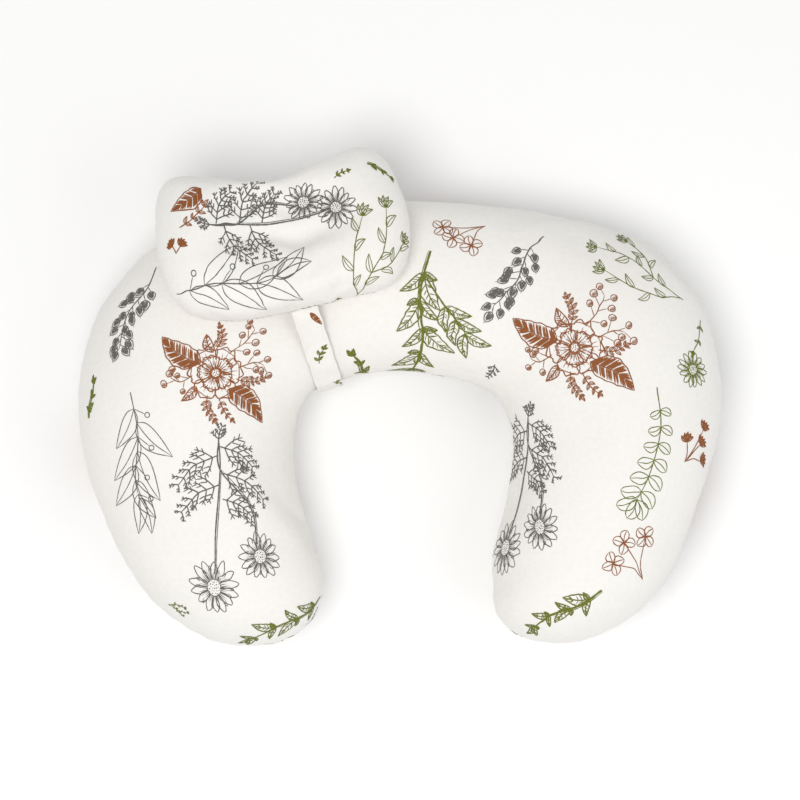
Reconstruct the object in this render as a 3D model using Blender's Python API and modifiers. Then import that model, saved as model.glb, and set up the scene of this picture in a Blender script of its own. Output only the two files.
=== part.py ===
"""Nursing pillow: a U-shaped support pillow with a small head pillow strapped over its arch.

Both pillows are a printed cotton cover (two sewn panels and a zip) over an inner casing with its filling.
The head pillow rides on a fabric band that goes round the arch and closes underneath with hook and loop.
Frame: +Z up, the pillow lies flat on Z = 0 with its opening towards -Y. The origin is under its middle.
All sizes below are millimetres; MM turns them into metres when a mesh is made.
"""

import math

import bmesh
import bpy
import numpy as np
from mathutils import Matrix, Vector

MM = 0.001

# ---- main pillow -------------------------------------------------------------------------------------
SEAM_Z = 72.0  # height of the seam that joins the two cover panels
ARCH_HALF_THICK = 62.0
ARM_HALF_THICK = 75.0  # more than SEAM_Z, so the arms are flat where they rest
UNDER_FULLNESS = 1.17  # the squashed underside bulges this much faster than the top, then stays level
THICKEN_FROM, THICKEN_TO = 110.0, 205.0  # from the middle: where the arch grows into the arms
END_ROUNDING = 80.0  # least distance over which the surface rises from the seam to its full height
ARC_TOP = 188.0  # outer seam of the arch: a shallow arc, highest on the middle line
ARC_RADIUS = 780.0
# Facing points of the outer and the inner seam, from the left arm's tip round the arch to the right tip.
# None in place of a Y means that the point lies on the arch's arc.
STATIONS = (
    ((-146, -229), (-146, -229)),
    ((-178, -222), (-112, -225)),
    ((-217, -198), (-82, -205)),
    ((-247, -164), (-72, -172)),
    ((-270, -122), (-80, -132)),
    ((-290, -68), (-94, -86)),
    ((-299, -8), (-98, -45)),
    ((-291, 55), (-95, -14)),
    ((-263, 112), (-86, 3)),
    ((-215, 152), (-72, 12)),
    ((-160, None), (-55, 18)),
    ((-100, None), (-36, 23)),
    ((-44, None), (-16, 26)),
    ((16, None), (7, 26)),
    ((80, None), (29, 24)),
    ((144, None), (52, 19)),
    ((220, 151), (76, 12)),
    ((264, 119), (90, 3)),
    ((292, 55), (100, -14)),
    ((299, -8), (105, -45)),
    ((287, -70), (99, -90)),
    ((266, -130), (88, -135)),
    ((243, -173), (86, -172)),
    ((210, -205), (90, -200)),
    ((175, -222), (112, -220)),
    ((145, -228), (145, -228)),
)
STEPS_PER_STATION = 2
# Angles round a cross-section, from the seam to the crest: closer together by the seam's upright wall.
SECTION_ANGLES = (0.0, 0.22, 0.6, 1.07, math.pi / 2)

# ---- layers, shared by both pillows ------------------------------------------------------------------
COVER_THICK = 0.5
LINER_INSET = 3.4  # from the cover's outside to the inner casing's outside
LINER_THICK = 0.4
FILLING_INSET = 4.3
SEAM_GAP = 0.55  # half the slot between two panels, which the sewing thread bridges
THREAD_RADIUS = 0.2

# ---- zips --------------------------------------------------------------------------------------------
ZIP_SLOT = 4.5  # half height of the opening that shows the zip
TAPE_THICK = 0.5
# (outwards, across) from the middle line of the zip, for one in a seam and for one in a flat panel.
SEAM_TAPE = ((-1.6, 0.6), (-1.6, 3.0), (-2.2, 4.4), (-2.8, 9.0))
PANEL_TAPE = ((-1.6, 0.6), (-1.6, 4.0), (-1.6, 9.0))
COIL_RADIUS = 0.8
COIL_ACROSS = 1.25  # from the middle of the zip to the middle of a coil row
COIL_OUT = -0.4
SLIDER_LENGTH, SLIDER_HALF_WIDTH = 11.0, 3.7
FLANGE_LOW, PLATE_LOW, PLATE_HIGH = -1.1, 0.8, 1.9  # the slider's body, outwards from the zip's line
CROWN_HALF_LENGTH, CROWN_WIDTH, CROWN_HIGH = 4.2, 1.6, 4.7
PULL_PIVOT_OUT = 3.0
PULL_THICK, PULL_LENGTH, PULL_HALF_WIDTH = 1.0, 25.0, 3.4
MAIN_ZIP_FROM, MAIN_ZIP_TO = -16.0, 148.0  # along the arch's arc, from the middle line
HEAD_ZIP_FROM, HEAD_ZIP_TO = -62.0, 62.0
HEAD_ZIP_ACROSS = 14.0  # behind the head pillow's middle
SLIDER_FROM_END = 12.0
COIL_FROM_END, STOP_FROM_END = 5.0, 3.0
STOP_HALF_SIZE = (1.2, 0.9, 2.6)
SLOT_CUTTER_OUT = (-2.2, 3.0)  # how far the cutter of the head pillow's zip opening reaches

# ---- head pillow, in its own frame: x along it, y towards its back edge, z up -------------------------
HEAD_CENTRE = (-108.0, 144.4, 146.2)
HEAD_YAW, HEAD_PITCH, HEAD_ROLL = 9.5, 15.0, 1.6
HEAD_BEND_RADIUS = 180.0  # it sags over the arch, round its long axis
HEAD_TOP, HEAD_UNDER = 38.0, 16.0
HEAD_EDGE_TOP, HEAD_EDGE_UNDER = 44.0, 30.0  # width of the rounded edge
DISH_DEPTH, DISH_HALF_LENGTH, DISH_HALF_WIDTH = 21.0, 56.0, 34.0
HEAD_OUTLINE = (
    (117, -8), (114, 31), (104, 62), (83, 75), (48, 67), (0, 56), (-46, 65), (-82, 74),
    (-105, 66), (-114, 31), (-115, -10), (-107, -45), (-88, -63), (-50, -72), (0, -71),
    (45, -68), (88, -63), (108, -45),
)
HEAD_STEPS_PER_POINT = 2
HEAD_RINGS = (0.0, 0.25, 0.47, 0.67, 0.83, 0.945, 1.0)

# ---- strap -------------------------------------------------------------------------------------------
STRAP_FOOT = (-66.0, 13.6)  # where its middle line crosses the arch's inner seam
STRAP_LEAN = 18.8  # degrees from +Y towards -X
STRAP_WIDTH, STRAP_THICK = 25.0, 1.0
STRAP_CLEARANCE = 1.6
STRAP_STEP = 9.0  # length of one facet along the band
STRAP_REACH = (-20.0, 220.0)  # how far behind its foot the band's loop can lie
FRONT_STANDOFF, BACK_STANDOFF = 1.8, 4.5  # from the head pillow's seam to the end of a band sewn into it
PATCH_THICK = 0.8
PATCH_GAP = 0.35
FRONT_BAND_END = 118.0  # how far behind the foot the front band ends, under the arch
TAB_HINGE, TAB_END, TAB_GAP = 120.0, 62.0, 0.6
PATCH_WIDTH = 21.0
PATCH_FROM_TAB_END, PATCH_FROM_BAND_END = 4.0, 6.0
BACK_BAND_EASE = 0.6  # share of the back band over which it comes up from under the front band
UNDER_ARCH_DROP = 20.0  # the part of the loop this far below the seam lies under the arch

LABEL_LENGTH, LABEL_THICK, LABEL_AT = 32.0, 0.3, 100.0
LABEL_PROFILE = ((-10.5, -3.2), (-16.0, -4.3), (-22.0, -7.0))  # (across, outwards) from the zip's line

COTTON = (0.86, 0.85, 0.82)
LINER_WHITE = (0.9, 0.9, 0.89)
FIBRE_WHITE = (0.93, 0.93, 0.93)
ZIP_WHITE = (0.88, 0.87, 0.84)
SLIDER_WHITE = (0.8, 0.8, 0.78)


# ---- scene and small helpers -------------------------------------------------------------------------
def clear_scene():
    for obj in list(bpy.data.objects):
        bpy.data.objects.remove(obj)


def material(name, colour, roughness, metallic=0.0):
    found = bpy.data.materials.get(name)
    if found:
        return found
    made = bpy.data.materials.new(name)
    made.use_nodes = True
    shader = made.node_tree.nodes["Principled BSDF"]
    shader.inputs["Base Color"].default_value = (*colour, 1.0)
    shader.inputs["Roughness"].default_value = roughness
    shader.inputs["Metallic"].default_value = metallic
    return made


def cotton():
    return material("printed_cotton", COTTON, 0.85)


def link(obj, surface):
    obj.data.materials.append(surface)
    PARTS.objects.link(obj)
    return obj


def mesh_object(name, points, faces, surface, smooth=True):
    """An object from points in millimetres."""
    mesh = bpy.data.meshes.new(name)
    mesh.from_pydata([tuple(c * MM for c in p) for p in points], [], faces)
    mesh.update()
    if smooth:
        mesh.shade_smooth()
    return link(bpy.data.objects.new(name, mesh), surface)


def solidify(obj, thickness, offset=-1.0):
    modifier = obj.modifiers.new("thickness", "SOLIDIFY")
    modifier.thickness = thickness * MM
    modifier.offset = offset
    return obj


def turn_about(pivot, *objects):
    """Hangs objects on an empty that stands on their joint's axis, given in millimetres."""
    hinge = bpy.data.objects.new(f"{objects[0].name}_hinge", None)
    hinge.location = [c * MM for c in pivot]
    PARTS.objects.link(hinge)
    for obj in objects:
        obj.parent = hinge
        obj.matrix_parent_inverse = Matrix.Translation(hinge.location).inverted()


def wire(name, points, radius, surface, rounds=1):
    """A round wire through points in millimetres, with closed ends."""
    curve = bpy.data.curves.new(name, "CURVE")
    curve.dimensions = "3D"
    curve.bevel_depth = radius * MM
    curve.bevel_resolution = rounds
    curve.use_fill_caps = True
    spline = curve.splines.new("POLY")
    spline.points.add(len(points) - 1)
    for knot, p in zip(spline.points, points):
        knot.co = (*(c * MM for c in p), 1.0)
    return link(bpy.data.objects.new(name, curve), surface)


def boxes_union(name, boxes, surface):
    """One solid from overlapping boxes, each given as (low corner, high corner)."""
    solids = []
    for index, (low, high) in enumerate(boxes):
        mesh = bpy.data.meshes.new(f"{name}_{index}")
        bm = bmesh.new()
        bmesh.ops.create_cube(bm, size=1.0)
        low, high = Vector(low) * MM, Vector(high) * MM
        for vertex in bm.verts:
            vertex.co = Vector(
                low[k] + (vertex.co[k] + 0.5) * (high[k] - low[k]) for k in range(3)
            )
        bm.to_mesh(mesh)
        bm.free()
        solids.append(bpy.data.objects.new(f"{name}_{index}", mesh))
    body = link(solids[0], surface)
    body.name = name
    for other in solids[1:]:
        other.parent = body
        CUTTERS.objects.link(other)
        other.hide_render = True
        other.display_type = "WIRE"
        union = body.modifiers.new("join", "BOOLEAN")
        union.operation = "UNION"
        union.object = other
    return body


def catmull(points, steps, closed=False):
    """A smooth curve through points, with this many steps from each point to the next."""
    pts = np.array(points, float)
    count = len(pts)
    last = count if closed else count - 1
    made = []
    for i in range(last):
        a, b, c, d = (
            pts[k % count] if closed else pts[min(max(k, 0), count - 1)]
            for k in (i - 1, i, i + 1, i + 2)
        )
        for step in range(steps):
            t = step / steps
            made.append(
                0.5
                * (2 * b + (c - a) * t + (2 * a - 5 * b + 4 * c - d) * t**2
                   + (3 * b - a - 3 * c + d) * t**3)
            )
    if not closed:
        made.append(pts[-1])
    return np.array(made)


def smoothstep(x, low, high):
    t = np.clip((x - low) / (high - low), 0.0, 1.0)
    return t * t * (3 - 2 * t)


def rise(distance, width):
    """A quarter ellipse: 0 on the seam, 1 from width inwards."""
    u = np.clip(distance / width, 0.0, 1.0)
    return np.sqrt(1 - (1 - u) ** 2)


def distance_to(outline, points):
    """Distance from each point to a closed polyline."""
    a, b = outline, np.roll(outline, -1, axis=0)
    run = b - a
    length = np.maximum((run**2).sum(1), 1e-9)
    gap = points[:, None, :] - a[None]
    t = np.clip((gap * run[None]).sum(2) / length, 0.0, 1.0)
    nearest = a[None] + t[..., None] * run[None]
    return np.sqrt(((points[:, None, :] - nearest) ** 2).sum(2)).min(1)


# ---- skins: a closed surface as an upper and a lower grid of points ----------------------------------
class Skin:
    """A closed pillow surface. The upper and the lower faces share the seam's points."""

    def __init__(self, points, upper, lower, seam):
        self.points = np.array(points, float)
        self.upper, self.lower, self.seam = upper, lower, seam
        self.normals = self.vertex_normals()

    def vertex_normals(self):
        total = np.zeros_like(self.points)
        for face in self.upper + self.lower:
            corners = self.points[list(face)]
            centre = corners.mean(0)
            turned = np.roll(corners, -1, axis=0)
            normal = np.cross(corners - centre, turned - centre).sum(0)
            for index in face:
                total[index] += normal
        return total / np.maximum(np.linalg.norm(total, axis=1, keepdims=True), 1e-9)

    def inset(self, depth):
        return self.points - self.normals * depth

    def panel(self, name, side, depth, thickness, surface, place, edge_gap):
        """The upper (side 1) or lower (side -1) panel as a thin shell, its edge drawn back from the seam."""
        points = self.inset(depth)
        for index in self.seam:
            points[index][2] += side * edge_gap(self.points[index])
        faces = self.upper if side > 0 else self.lower
        used = sorted({index for face in faces for index in face})
        number = {index: k for k, index in enumerate(used)}
        return solidify(
            mesh_object(
                name,
                [place(points[index]) for index in used],
                [[number[index] for index in face] for face in faces],
                surface,
            ),
            thickness,
        )

    def solid(self, name, depth, surface, place):
        points = [place(p) for p in self.inset(depth)]
        return mesh_object(name, points, self.upper + self.lower, surface)


# ---- the main pillow's shape -------------------------------------------------------------------------
def arc_y(x):
    return ARC_TOP - ARC_RADIUS + math.sqrt(ARC_RADIUS**2 - x**2)


def seam_curves():
    """The outer and the inner seam, with facing points at the same index."""
    outer = [(x, arc_y(x) if y is None else y) for (x, y), _ in STATIONS]
    inner = [point for _, point in STATIONS]
    return catmull(outer, STEPS_PER_STATION), catmull(inner, STEPS_PER_STATION)


def main_outline():
    outer, inner = seam_curves()
    return np.concatenate([outer, inner[1:-1][::-1]])


def half_thickness(middle_x):
    grown = smoothstep(np.abs(middle_x), THICKEN_FROM, THICKEN_TO)
    return ARCH_HALF_THICK + (ARM_HALF_THICK - ARCH_HALF_THICK) * grown


def main_skin():
    outer, inner = seam_curves()
    crosswise = [(1 - math.cos(a)) / 2 for a in SECTION_ANGLES]
    crosswise += [1 - t for t in crosswise[-2::-1]]
    outline = main_outline()
    rows = len(outer)
    columns = len(crosswise)
    points, top_index, under_index, seam = [], {}, {}, []
    for i in range(rows):
        tip = i in (0, rows - 1)
        half_chord = np.linalg.norm(outer[i] - inner[i]) / 2
        half = half_thickness((outer[i][0] + inner[i][0]) / 2)
        for j, t in enumerate(crosswise):
            if tip and j:
                top_index[i, j] = under_index[i, j] = top_index[i, 0]
                continue
            plan = outer[i] + t * (inner[i] - outer[i])
            away = distance_to(outline, plan[None])[0]
            height = half * rise(away, max(half_chord, END_ROUNDING))
            top_index[i, j] = len(points)
            on_seam = tip or j in (0, columns - 1)
            points.append((*plan, SEAM_Z + (0 if on_seam else height)))
            if on_seam:
                under_index[i, j] = top_index[i, j]
                seam.append(top_index[i, j])
            else:
                under_index[i, j] = len(points)
                points.append((*plan, SEAM_Z - min(UNDER_FULLNESS * height, half, SEAM_Z)))
    upper, lower = [], []
    for i in range(rows - 1):
        for j in range(columns - 1):
            corners = ((i, j), (i, j + 1), (i + 1, j + 1), (i + 1, j))
            upper.append(distinct(top_index[c] for c in corners))
            lower.append(distinct(under_index[c] for c in corners)[::-1])
    return Skin(points, upper, lower, seam)


def distinct(indices):
    """A face's points in order, each one once, so that a face at a tip is a triangle."""
    return list(dict.fromkeys(indices))


def main_edge_gap(point):
    """How far a panel's edge stands back from the seam: wide enough for the zip along the arch's back."""
    along = math.atan2(point[0], point[1] - (ARC_TOP - ARC_RADIUS)) * ARC_RADIUS
    behind = point[1] > ARC_TOP - 40
    return ZIP_SLOT if behind and MAIN_ZIP_FROM < along < MAIN_ZIP_TO else SEAM_GAP


def sewn_gap(_point):
    return SEAM_GAP


def as_is(point):
    return point


def main_cover(skin):
    skin.panel("main_cover_top", 1, 0.0, COVER_THICK, cotton(), as_is, main_edge_gap)
    skin.panel("main_cover_bottom", -1, 0.0, COVER_THICK, cotton(), as_is, main_edge_gap)


def main_inside(skin):
    lining = material("inner_casing", LINER_WHITE, 0.9)
    skin.panel("main_liner_top", 1, LINER_INSET, LINER_THICK, lining, as_is, sewn_gap)
    skin.panel("main_liner_bottom", -1, LINER_INSET, LINER_THICK, lining, as_is, sewn_gap)
    skin.solid("main_filling", FILLING_INSET, material("fibre_filling", FIBRE_WHITE, 1.0), as_is)


def main_seam_thread():
    """The sewing thread between the panels' edges, from one end of the zip round to the other."""
    outline = main_outline()
    zipped = [main_edge_gap(p) == ZIP_SLOT for p in outline]
    first = max(k for k, z in enumerate(zipped) if z) + 1
    order = [(first + k) % len(outline) for k in range(len(outline))]
    order = [k for k in order if not zipped[k]]
    run = []
    for k in order:
        before, after = outline[k - 1], outline[(k + 1) % len(outline)]
        along = after - before
        inwards = np.array([along[1], -along[0]]) / np.linalg.norm(along)
        run.append((*(outline[k] + inwards * COVER_THICK / 2), SEAM_Z))
    wire("main_seam_thread", run, THREAD_RADIUS, material("thread", COTTON, 0.7), rounds=0)


# ---- zips --------------------------------------------------------------------------------------------
class ZipPath:
    """Where a zip lies. place() takes (along, across, outwards); matrix() is the frame at one point."""

    def __init__(self, centre, tape, radius=None, basis=None):
        self.centre, self.tape, self.radius, self.basis = Vector(centre), tape, radius, basis

    def place(self, along, across, out):
        if self.radius:
            angle = along / self.radius
            reach = self.radius + out
            local = Vector((reach * math.sin(angle), reach * math.cos(angle), across))
            return self.centre + local
        return self.centre + self.basis @ Vector((along, out, across))

    def matrix(self, along):
        """Local x along the zip, y outwards, z across."""
        if self.radius:
            turn = Matrix.Rotation(-along / self.radius, 4, "Z")
        else:
            turn = self.basis.to_4x4()
        return Matrix.Translation(self.place(along, 0, 0) * MM) @ turn


def zip_tape(name, path, start, end, side):
    steps = max(2, round((end - start) / 14))
    points, faces = [], []
    columns = len(path.tape)
    for i in range(steps + 1):
        along = start + (end - start) * i / steps
        points += [path.place(along, side * across, out) for out, across in path.tape]
    for i in range(steps):
        for j in range(columns - 1):
            k = i * columns + j
            face = [k, k + 1, k + columns + 1, k + columns]
            faces.append(face if side > 0 else face[::-1])
    tape = mesh_object(name, points, faces, material("zip_tape", ZIP_WHITE, 0.8))
    return solidify(tape, TAPE_THICK)


def zip_coil(name, path, start, end, side):
    steps = max(2, round((end - start) / 12))
    stations = [start + (end - start) * i / steps for i in range(steps + 1)]
    points = [path.place(a, side * COIL_ACROSS, COIL_OUT) for a in stations]
    return wire(name, points, COIL_RADIUS, material("zip_coil", ZIP_WHITE, 0.45))


def zip_stop(name, path, along):
    half = STOP_HALF_SIZE
    stop = boxes_union(
        name,
        [((-half[0], COIL_OUT - half[1], -half[2]), (half[0], COIL_OUT + half[1], half[2]))],
        material("zip_metal", SLIDER_WHITE, 0.35, 0.6),
    )
    stop.matrix_world = path.matrix(along)
    return stop


def zip_slider(name, path, along):
    """A plate over the chain with a flange down each side and a bridge that holds the pull."""
    half, wide = SLIDER_LENGTH / 2, SLIDER_HALF_WIDTH
    flange_in = COIL_ACROSS + COIL_RADIUS + 0.35
    bridge, leg, rim = CROWN_HALF_LENGTH, 1.0, CROWN_WIDTH / 2
    boxes = [
        ((-half, PLATE_LOW, -wide), (half, PLATE_HIGH, wide)),
        ((-half + 0.5, FLANGE_LOW, flange_in), (half - 0.5, PLATE_HIGH - 0.2, wide - 0.1)),
        ((-half + 0.5, FLANGE_LOW, -wide + 0.1), (half - 0.5, PLATE_HIGH - 0.2, -flange_in)),
        ((-bridge, PLATE_HIGH - 0.3, -rim), (-bridge + leg, CROWN_HIGH - 0.2, rim - 0.1)),
        ((bridge - leg, PLATE_HIGH - 0.3, -rim + 0.1), (bridge, CROWN_HIGH - 0.3, rim)),
        ((-bridge + 0.1, CROWN_HIGH - 0.9, -rim - 0.1), (bridge - 0.1, CROWN_HIGH, rim + 0.1)),
    ]
    slider = boxes_union(name, boxes, material("zip_metal", SLIDER_WHITE, 0.35, 0.6))
    slider.matrix_world = path.matrix(along)
    return slider


def zip_pull(name, path, along):
    """A flat tab whose end bar passes under the slider's bridge. Its origin is on that bar, its hinge."""
    bar, arm_in, window = 0.55, CROWN_WIDTH / 2 + 0.55, 5.6
    wide, length = PULL_HALF_WIDTH, PULL_LENGTH
    neck = arm_in + 1.0
    half_outline = [(-bar, neck), (window, neck), (window + 2.5, wide)]
    half_outline += [
        (length - wide + wide * math.sin(a), wide * math.cos(a))
        for a in (k * math.pi / 10 for k in range(5))
    ]
    outline = half_outline + [(length, 0)] + [(x, -y) for x, y in reversed(half_outline)]
    hole = [(bar, arm_in), (window - 0.6, arm_in), (window - 0.6, -arm_in), (bar, -arm_in)]
    curve = bpy.data.curves.new(name, "CURVE")
    curve.dimensions = "2D"
    curve.fill_mode = "BOTH"
    curve.extrude = PULL_THICK / 2 * MM
    for loop in (outline, hole):
        spline = curve.splines.new("POLY")
        spline.points.add(len(loop) - 1)
        spline.use_cyclic_u = True
        for knot, (x, y) in zip(spline.points, loop):
            knot.co = (x * MM, y * MM, 0.0, 1.0)
    pull = link(bpy.data.objects.new(name, curve), material("zip_metal", SLIDER_WHITE, 0.35, 0.6))
    lie_flat = Matrix.Rotation(math.pi / 2, 4, "X") @ Matrix.Rotation(math.pi, 4, "Z")
    pull.matrix_world = path.matrix(along) @ Matrix.Translation((0, PULL_PIVOT_OUT * MM, 0)) @ lie_flat
    return pull


def zip_parts(prefix, path, start, end, slider_at, sides):
    """Tapes, coils, stops, slider and pull of one closed zip."""
    for label, side in sides:
        zip_tape(f"{prefix}_zip_tape_{label}", path, start, end, side)
        zip_coil(f"{prefix}_zip_coil_{label}", path, start + COIL_FROM_END, end - COIL_FROM_END, side)
    zip_stop(f"{prefix}_zip_stop_left", path, start + STOP_FROM_END)
    zip_stop(f"{prefix}_zip_stop_right", path, end - STOP_FROM_END)
    zip_pull(f"{prefix}_zip_pull", path, slider_at)
    return zip_slider(f"{prefix}_zip_slider", path, slider_at)


ARC_CENTRE = (0.0, ARC_TOP - ARC_RADIUS, SEAM_Z)


def main_zip_path():
    return ZipPath(ARC_CENTRE, SEAM_TAPE, radius=ARC_RADIUS)


# ---- the head pillow ---------------------------------------------------------------------------------
def head_rotation():
    return (
        Matrix.Rotation(math.radians(HEAD_YAW), 3, "Z")
        @ Matrix.Rotation(math.radians(HEAD_ROLL), 3, "Y")
        @ Matrix.Rotation(math.radians(-HEAD_PITCH), 3, "X")
    )


def head_place(point):
    """From the flat head pillow's frame to where it lies, sagging over the arch."""
    x, y, z = (float(c) for c in point)
    angle, reach = y / HEAD_BEND_RADIUS, HEAD_BEND_RADIUS + z
    bent = Vector((x, reach * math.sin(angle), reach * math.cos(angle) - HEAD_BEND_RADIUS))
    return Vector(HEAD_CENTRE) + head_rotation() @ bent


def dish(x, y):
    """Depth of the hollow for the baby's head."""
    reach = (x / DISH_HALF_LENGTH) ** 2 + (y / DISH_HALF_WIDTH) ** 2
    return DISH_DEPTH * math.exp(-(reach**1.4))


def head_outline():
    return catmull(HEAD_OUTLINE, HEAD_STEPS_PER_POINT, closed=True)


def head_skin():
    outline = head_outline()
    around = len(outline)
    points = [(0, 0, HEAD_TOP - dish(0, 0)), (0, 0, -HEAD_UNDER)]
    top_index, under_index, seam = {}, {}, []
    for i, share in enumerate(HEAD_RINGS[1:]):
        for j in range(around):
            plan = outline[j] * share
            away = distance_to(outline, plan[None])[0]
            top_index[i, j] = len(points)
            if share == 1.0:
                points.append((*plan, 0.0))
                under_index[i, j] = top_index[i, j]
                seam.append(top_index[i, j])
                continue
            lift = (HEAD_TOP - dish(*plan)) * rise(away, HEAD_EDGE_TOP)
            points.append((*plan, lift))
            under_index[i, j] = len(points)
            points.append((*plan, -HEAD_UNDER * rise(away, HEAD_EDGE_UNDER)))
    upper, lower = [], []
    for j in range(around):
        k = (j + 1) % around
        upper.append([0, top_index[0, j], top_index[0, k]])
        lower.append([1, under_index[0, k], under_index[0, j]])
        for i in range(len(HEAD_RINGS) - 2):
            upper.append([top_index[i, j], top_index[i + 1, j], top_index[i + 1, k], top_index[i, k]])
            ring = [under_index[i, k], under_index[i + 1, k], under_index[i + 1, j], under_index[i, j]]
            lower.append(ring)
    return Skin(points, upper, lower, seam)


def head_parts(skin):
    lining = material("inner_casing", LINER_WHITE, 0.9)
    skin.panel("head_cover_top", 1, 0.0, COVER_THICK, cotton(), head_place, sewn_gap)
    under = skin.panel("head_cover_bottom", -1, 0.0, COVER_THICK, cotton(), head_place, sewn_gap)
    cut_zip_slot(under)
    skin.panel("head_liner_top", 1, LINER_INSET, LINER_THICK, lining, head_place, sewn_gap)
    skin.panel("head_liner_bottom", -1, LINER_INSET, LINER_THICK, lining, head_place, sewn_gap)
    skin.solid("head_filling", FILLING_INSET, material("fibre_filling", FIBRE_WHITE, 1.0), head_place)
    outline = head_outline()
    run = []
    for k in range(len(outline)):
        along = outline[(k + 1) % len(outline)] - outline[k - 1]
        inwards = np.array([-along[1], along[0]]) / np.linalg.norm(along)
        run.append(head_place((*(outline[k] + inwards * COVER_THICK / 2), 0.0)))
    thread = wire("head_seam_thread", run, THREAD_RADIUS, material("thread", COTTON, 0.7), rounds=0)
    thread.data.splines[0].use_cyclic_u = True


def head_zip_path():
    """The zip lies in the flat underside, along the head pillow."""
    angle = HEAD_ZIP_ACROSS / HEAD_BEND_RADIUS
    turn = head_rotation() @ Matrix.Rotation(-angle, 3, "X")
    along, across, up = (Vector(turn.col[k]) for k in range(3))
    basis = Matrix((along, -up, across)).transposed()
    return ZipPath(head_place((0, HEAD_ZIP_ACROSS, -HEAD_UNDER)), PANEL_TAPE, basis=basis)


def cut_zip_slot(cover):
    path = head_zip_path()
    half = (HEAD_ZIP_TO - HEAD_ZIP_FROM) / 2 - 1.0
    low, high = SLOT_CUTTER_OUT
    slot = boxes_union("head_zip_slot", [((-half, low, -ZIP_SLOT), (half, high, ZIP_SLOT))], cotton())
    slot.matrix_world = path.matrix((HEAD_ZIP_TO + HEAD_ZIP_FROM) / 2)
    PARTS.objects.unlink(slot)
    CUTTERS.objects.link(slot)
    slot.hide_render = True
    slot.display_type = "WIRE"
    cut = cover.modifiers.new("zip_slot", "BOOLEAN")
    cut.operation = "DIFFERENCE"
    cut.object = slot


# ---- the strap ---------------------------------------------------------------------------------------
def strap_axes():
    lean = math.radians(STRAP_LEAN)
    return np.array([-math.sin(lean), math.cos(lean)]), np.array([math.cos(lean), math.sin(lean)])


def strap_point(behind, height, across=0.0):
    """A point from how far behind the strap's foot it is, its height, and how far across the band."""
    back, side = strap_axes()
    plan = np.array(STRAP_FOOT) + back * behind + side * across
    return (plan[0], plan[1], height)


def hull(points):
    """The convex outline of points in the strap's plane, anticlockwise."""
    ordered = sorted(set((round(float(a), 4), round(float(b), 4)) for a, b in points))
    def half(sequence):
        chain = []
        for p in sequence:
            while len(chain) > 1:
                (ax, ay), (bx, by) = chain[-2:]
                if (bx - ax) * (p[1] - ay) - (by - ay) * (p[0] - ax) > 0:
                    break
                chain.pop()
            chain.append(p)
        return chain
    low, high = half(ordered), half(ordered[::-1])
    return np.array(low[:-1] + high[:-1])


def anchors():
    """Where the two bands are sewn into the head pillow's seam, in the strap's plane."""
    back, side = strap_axes()
    foot = np.array(STRAP_FOOT)
    found = {}
    seam = [head_place((*p, 0.0)) for p in catmull(HEAD_OUTLINE, 24, closed=True)]
    for p in seam:
        offset = np.array([p.x, p.y]) - foot
        behind, across = float(offset @ back), float(offset @ side)
        label = "front" if behind < 120 else "back"
        if label not in found or abs(across) < found[label][0]:
            found[label] = (abs(across), behind, p.z)
    return found["front"][1:], found["back"][1:]


def strap_loop(skins):
    """The line of a taut band round the arch and up to its anchors: (behind, height), from the front."""
    back, side = strap_axes()
    near = []
    for points, faces in skins:
        for face in faces:
            corners = points[face]
            offset = corners[:, :2] - np.array(STRAP_FOOT)
            near += slab_cut(corners, offset @ side, offset @ back)
    near = [p for p in near if STRAP_REACH[0] < p[0] < STRAP_REACH[1]]
    front, rear = anchors()
    around = hull([p for p in near if below(p, front, rear)] + [front, rear])
    start = int(np.argmin(np.abs(around - np.array(front)).sum(1)))
    around = np.roll(around, -start, axis=0)
    # Anticlockwise from the front anchor runs down the front, under the arch and up the back.
    stop = int(np.argmin(np.abs(around - np.array(rear)).sum(1)))
    return around[: stop + 1]


def below(point, front, rear):
    """Whether a point lies under the line from one anchor to the other."""
    share = (point[0] - front[0]) / (rear[0] - front[0])
    return point[1] < front[1] + share * (rear[1] - front[1])


def slab_cut(corners, across, behind):
    """Where a face's edges lie within the band's width, as (behind, height)."""
    limit = STRAP_WIDTH / 2 + 1
    found = []
    for k in range(len(corners)):
        m = (k + 1) % len(corners)
        for t in np.linspace(0, 1, 7):
            if abs(across[k] + t * (across[m] - across[k])) <= limit:
                found.append(
                    (behind[k] + t * (behind[m] - behind[k]),
                     corners[k][2] + t * (corners[m][2] - corners[k][2]))
                )
    return found


def resample(line, step):
    """Points at even steps along a polyline."""
    lengths = np.concatenate([[0], np.cumsum(np.linalg.norm(np.diff(line, axis=0), axis=1))])
    count = max(2, round(lengths[-1] / step))
    at = np.linspace(0, lengths[-1], count + 1)
    return np.stack([np.interp(at, lengths, line[:, k]) for k in range(2)], axis=1)


def towards(start, end, distance):
    return start + (end - start) * distance / np.linalg.norm(end - start)


def offset_line(line, distances):
    """The line moved to its right, which is outwards of the loop, by a distance for each point."""
    run = np.gradient(line, axis=0)
    run /= np.linalg.norm(run, axis=1, keepdims=True)
    return line + np.stack([run[:, 1], -run[:, 0]], axis=1) * np.asarray(distances)[:, None]


def band(name, line, width, thickness, surface):
    """A flat band along a line in the strap's plane, its thickness half to each side."""
    points, faces = [], []
    columns = (-width / 2, 0.0, width / 2)
    for behind, height in line:
        points += [strap_point(behind, height, across) for across in columns]
    for i in range(len(line) - 1):
        for j in range(2):
            k = 3 * i + j
            faces.append([k, k + 3, k + 4, k + 1])
    return solidify(mesh_object(name, points, faces, surface), thickness, offset=0.0)


def under_arch(line, low, high):
    """The stretch of the loop under the arch between two distances behind the foot."""
    keep = [p for p in line if low - 0.01 <= p[0] <= high + 0.01 and p[1] < SEAM_Z - UNDER_ARCH_DROP]
    return np.array(keep)


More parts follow.
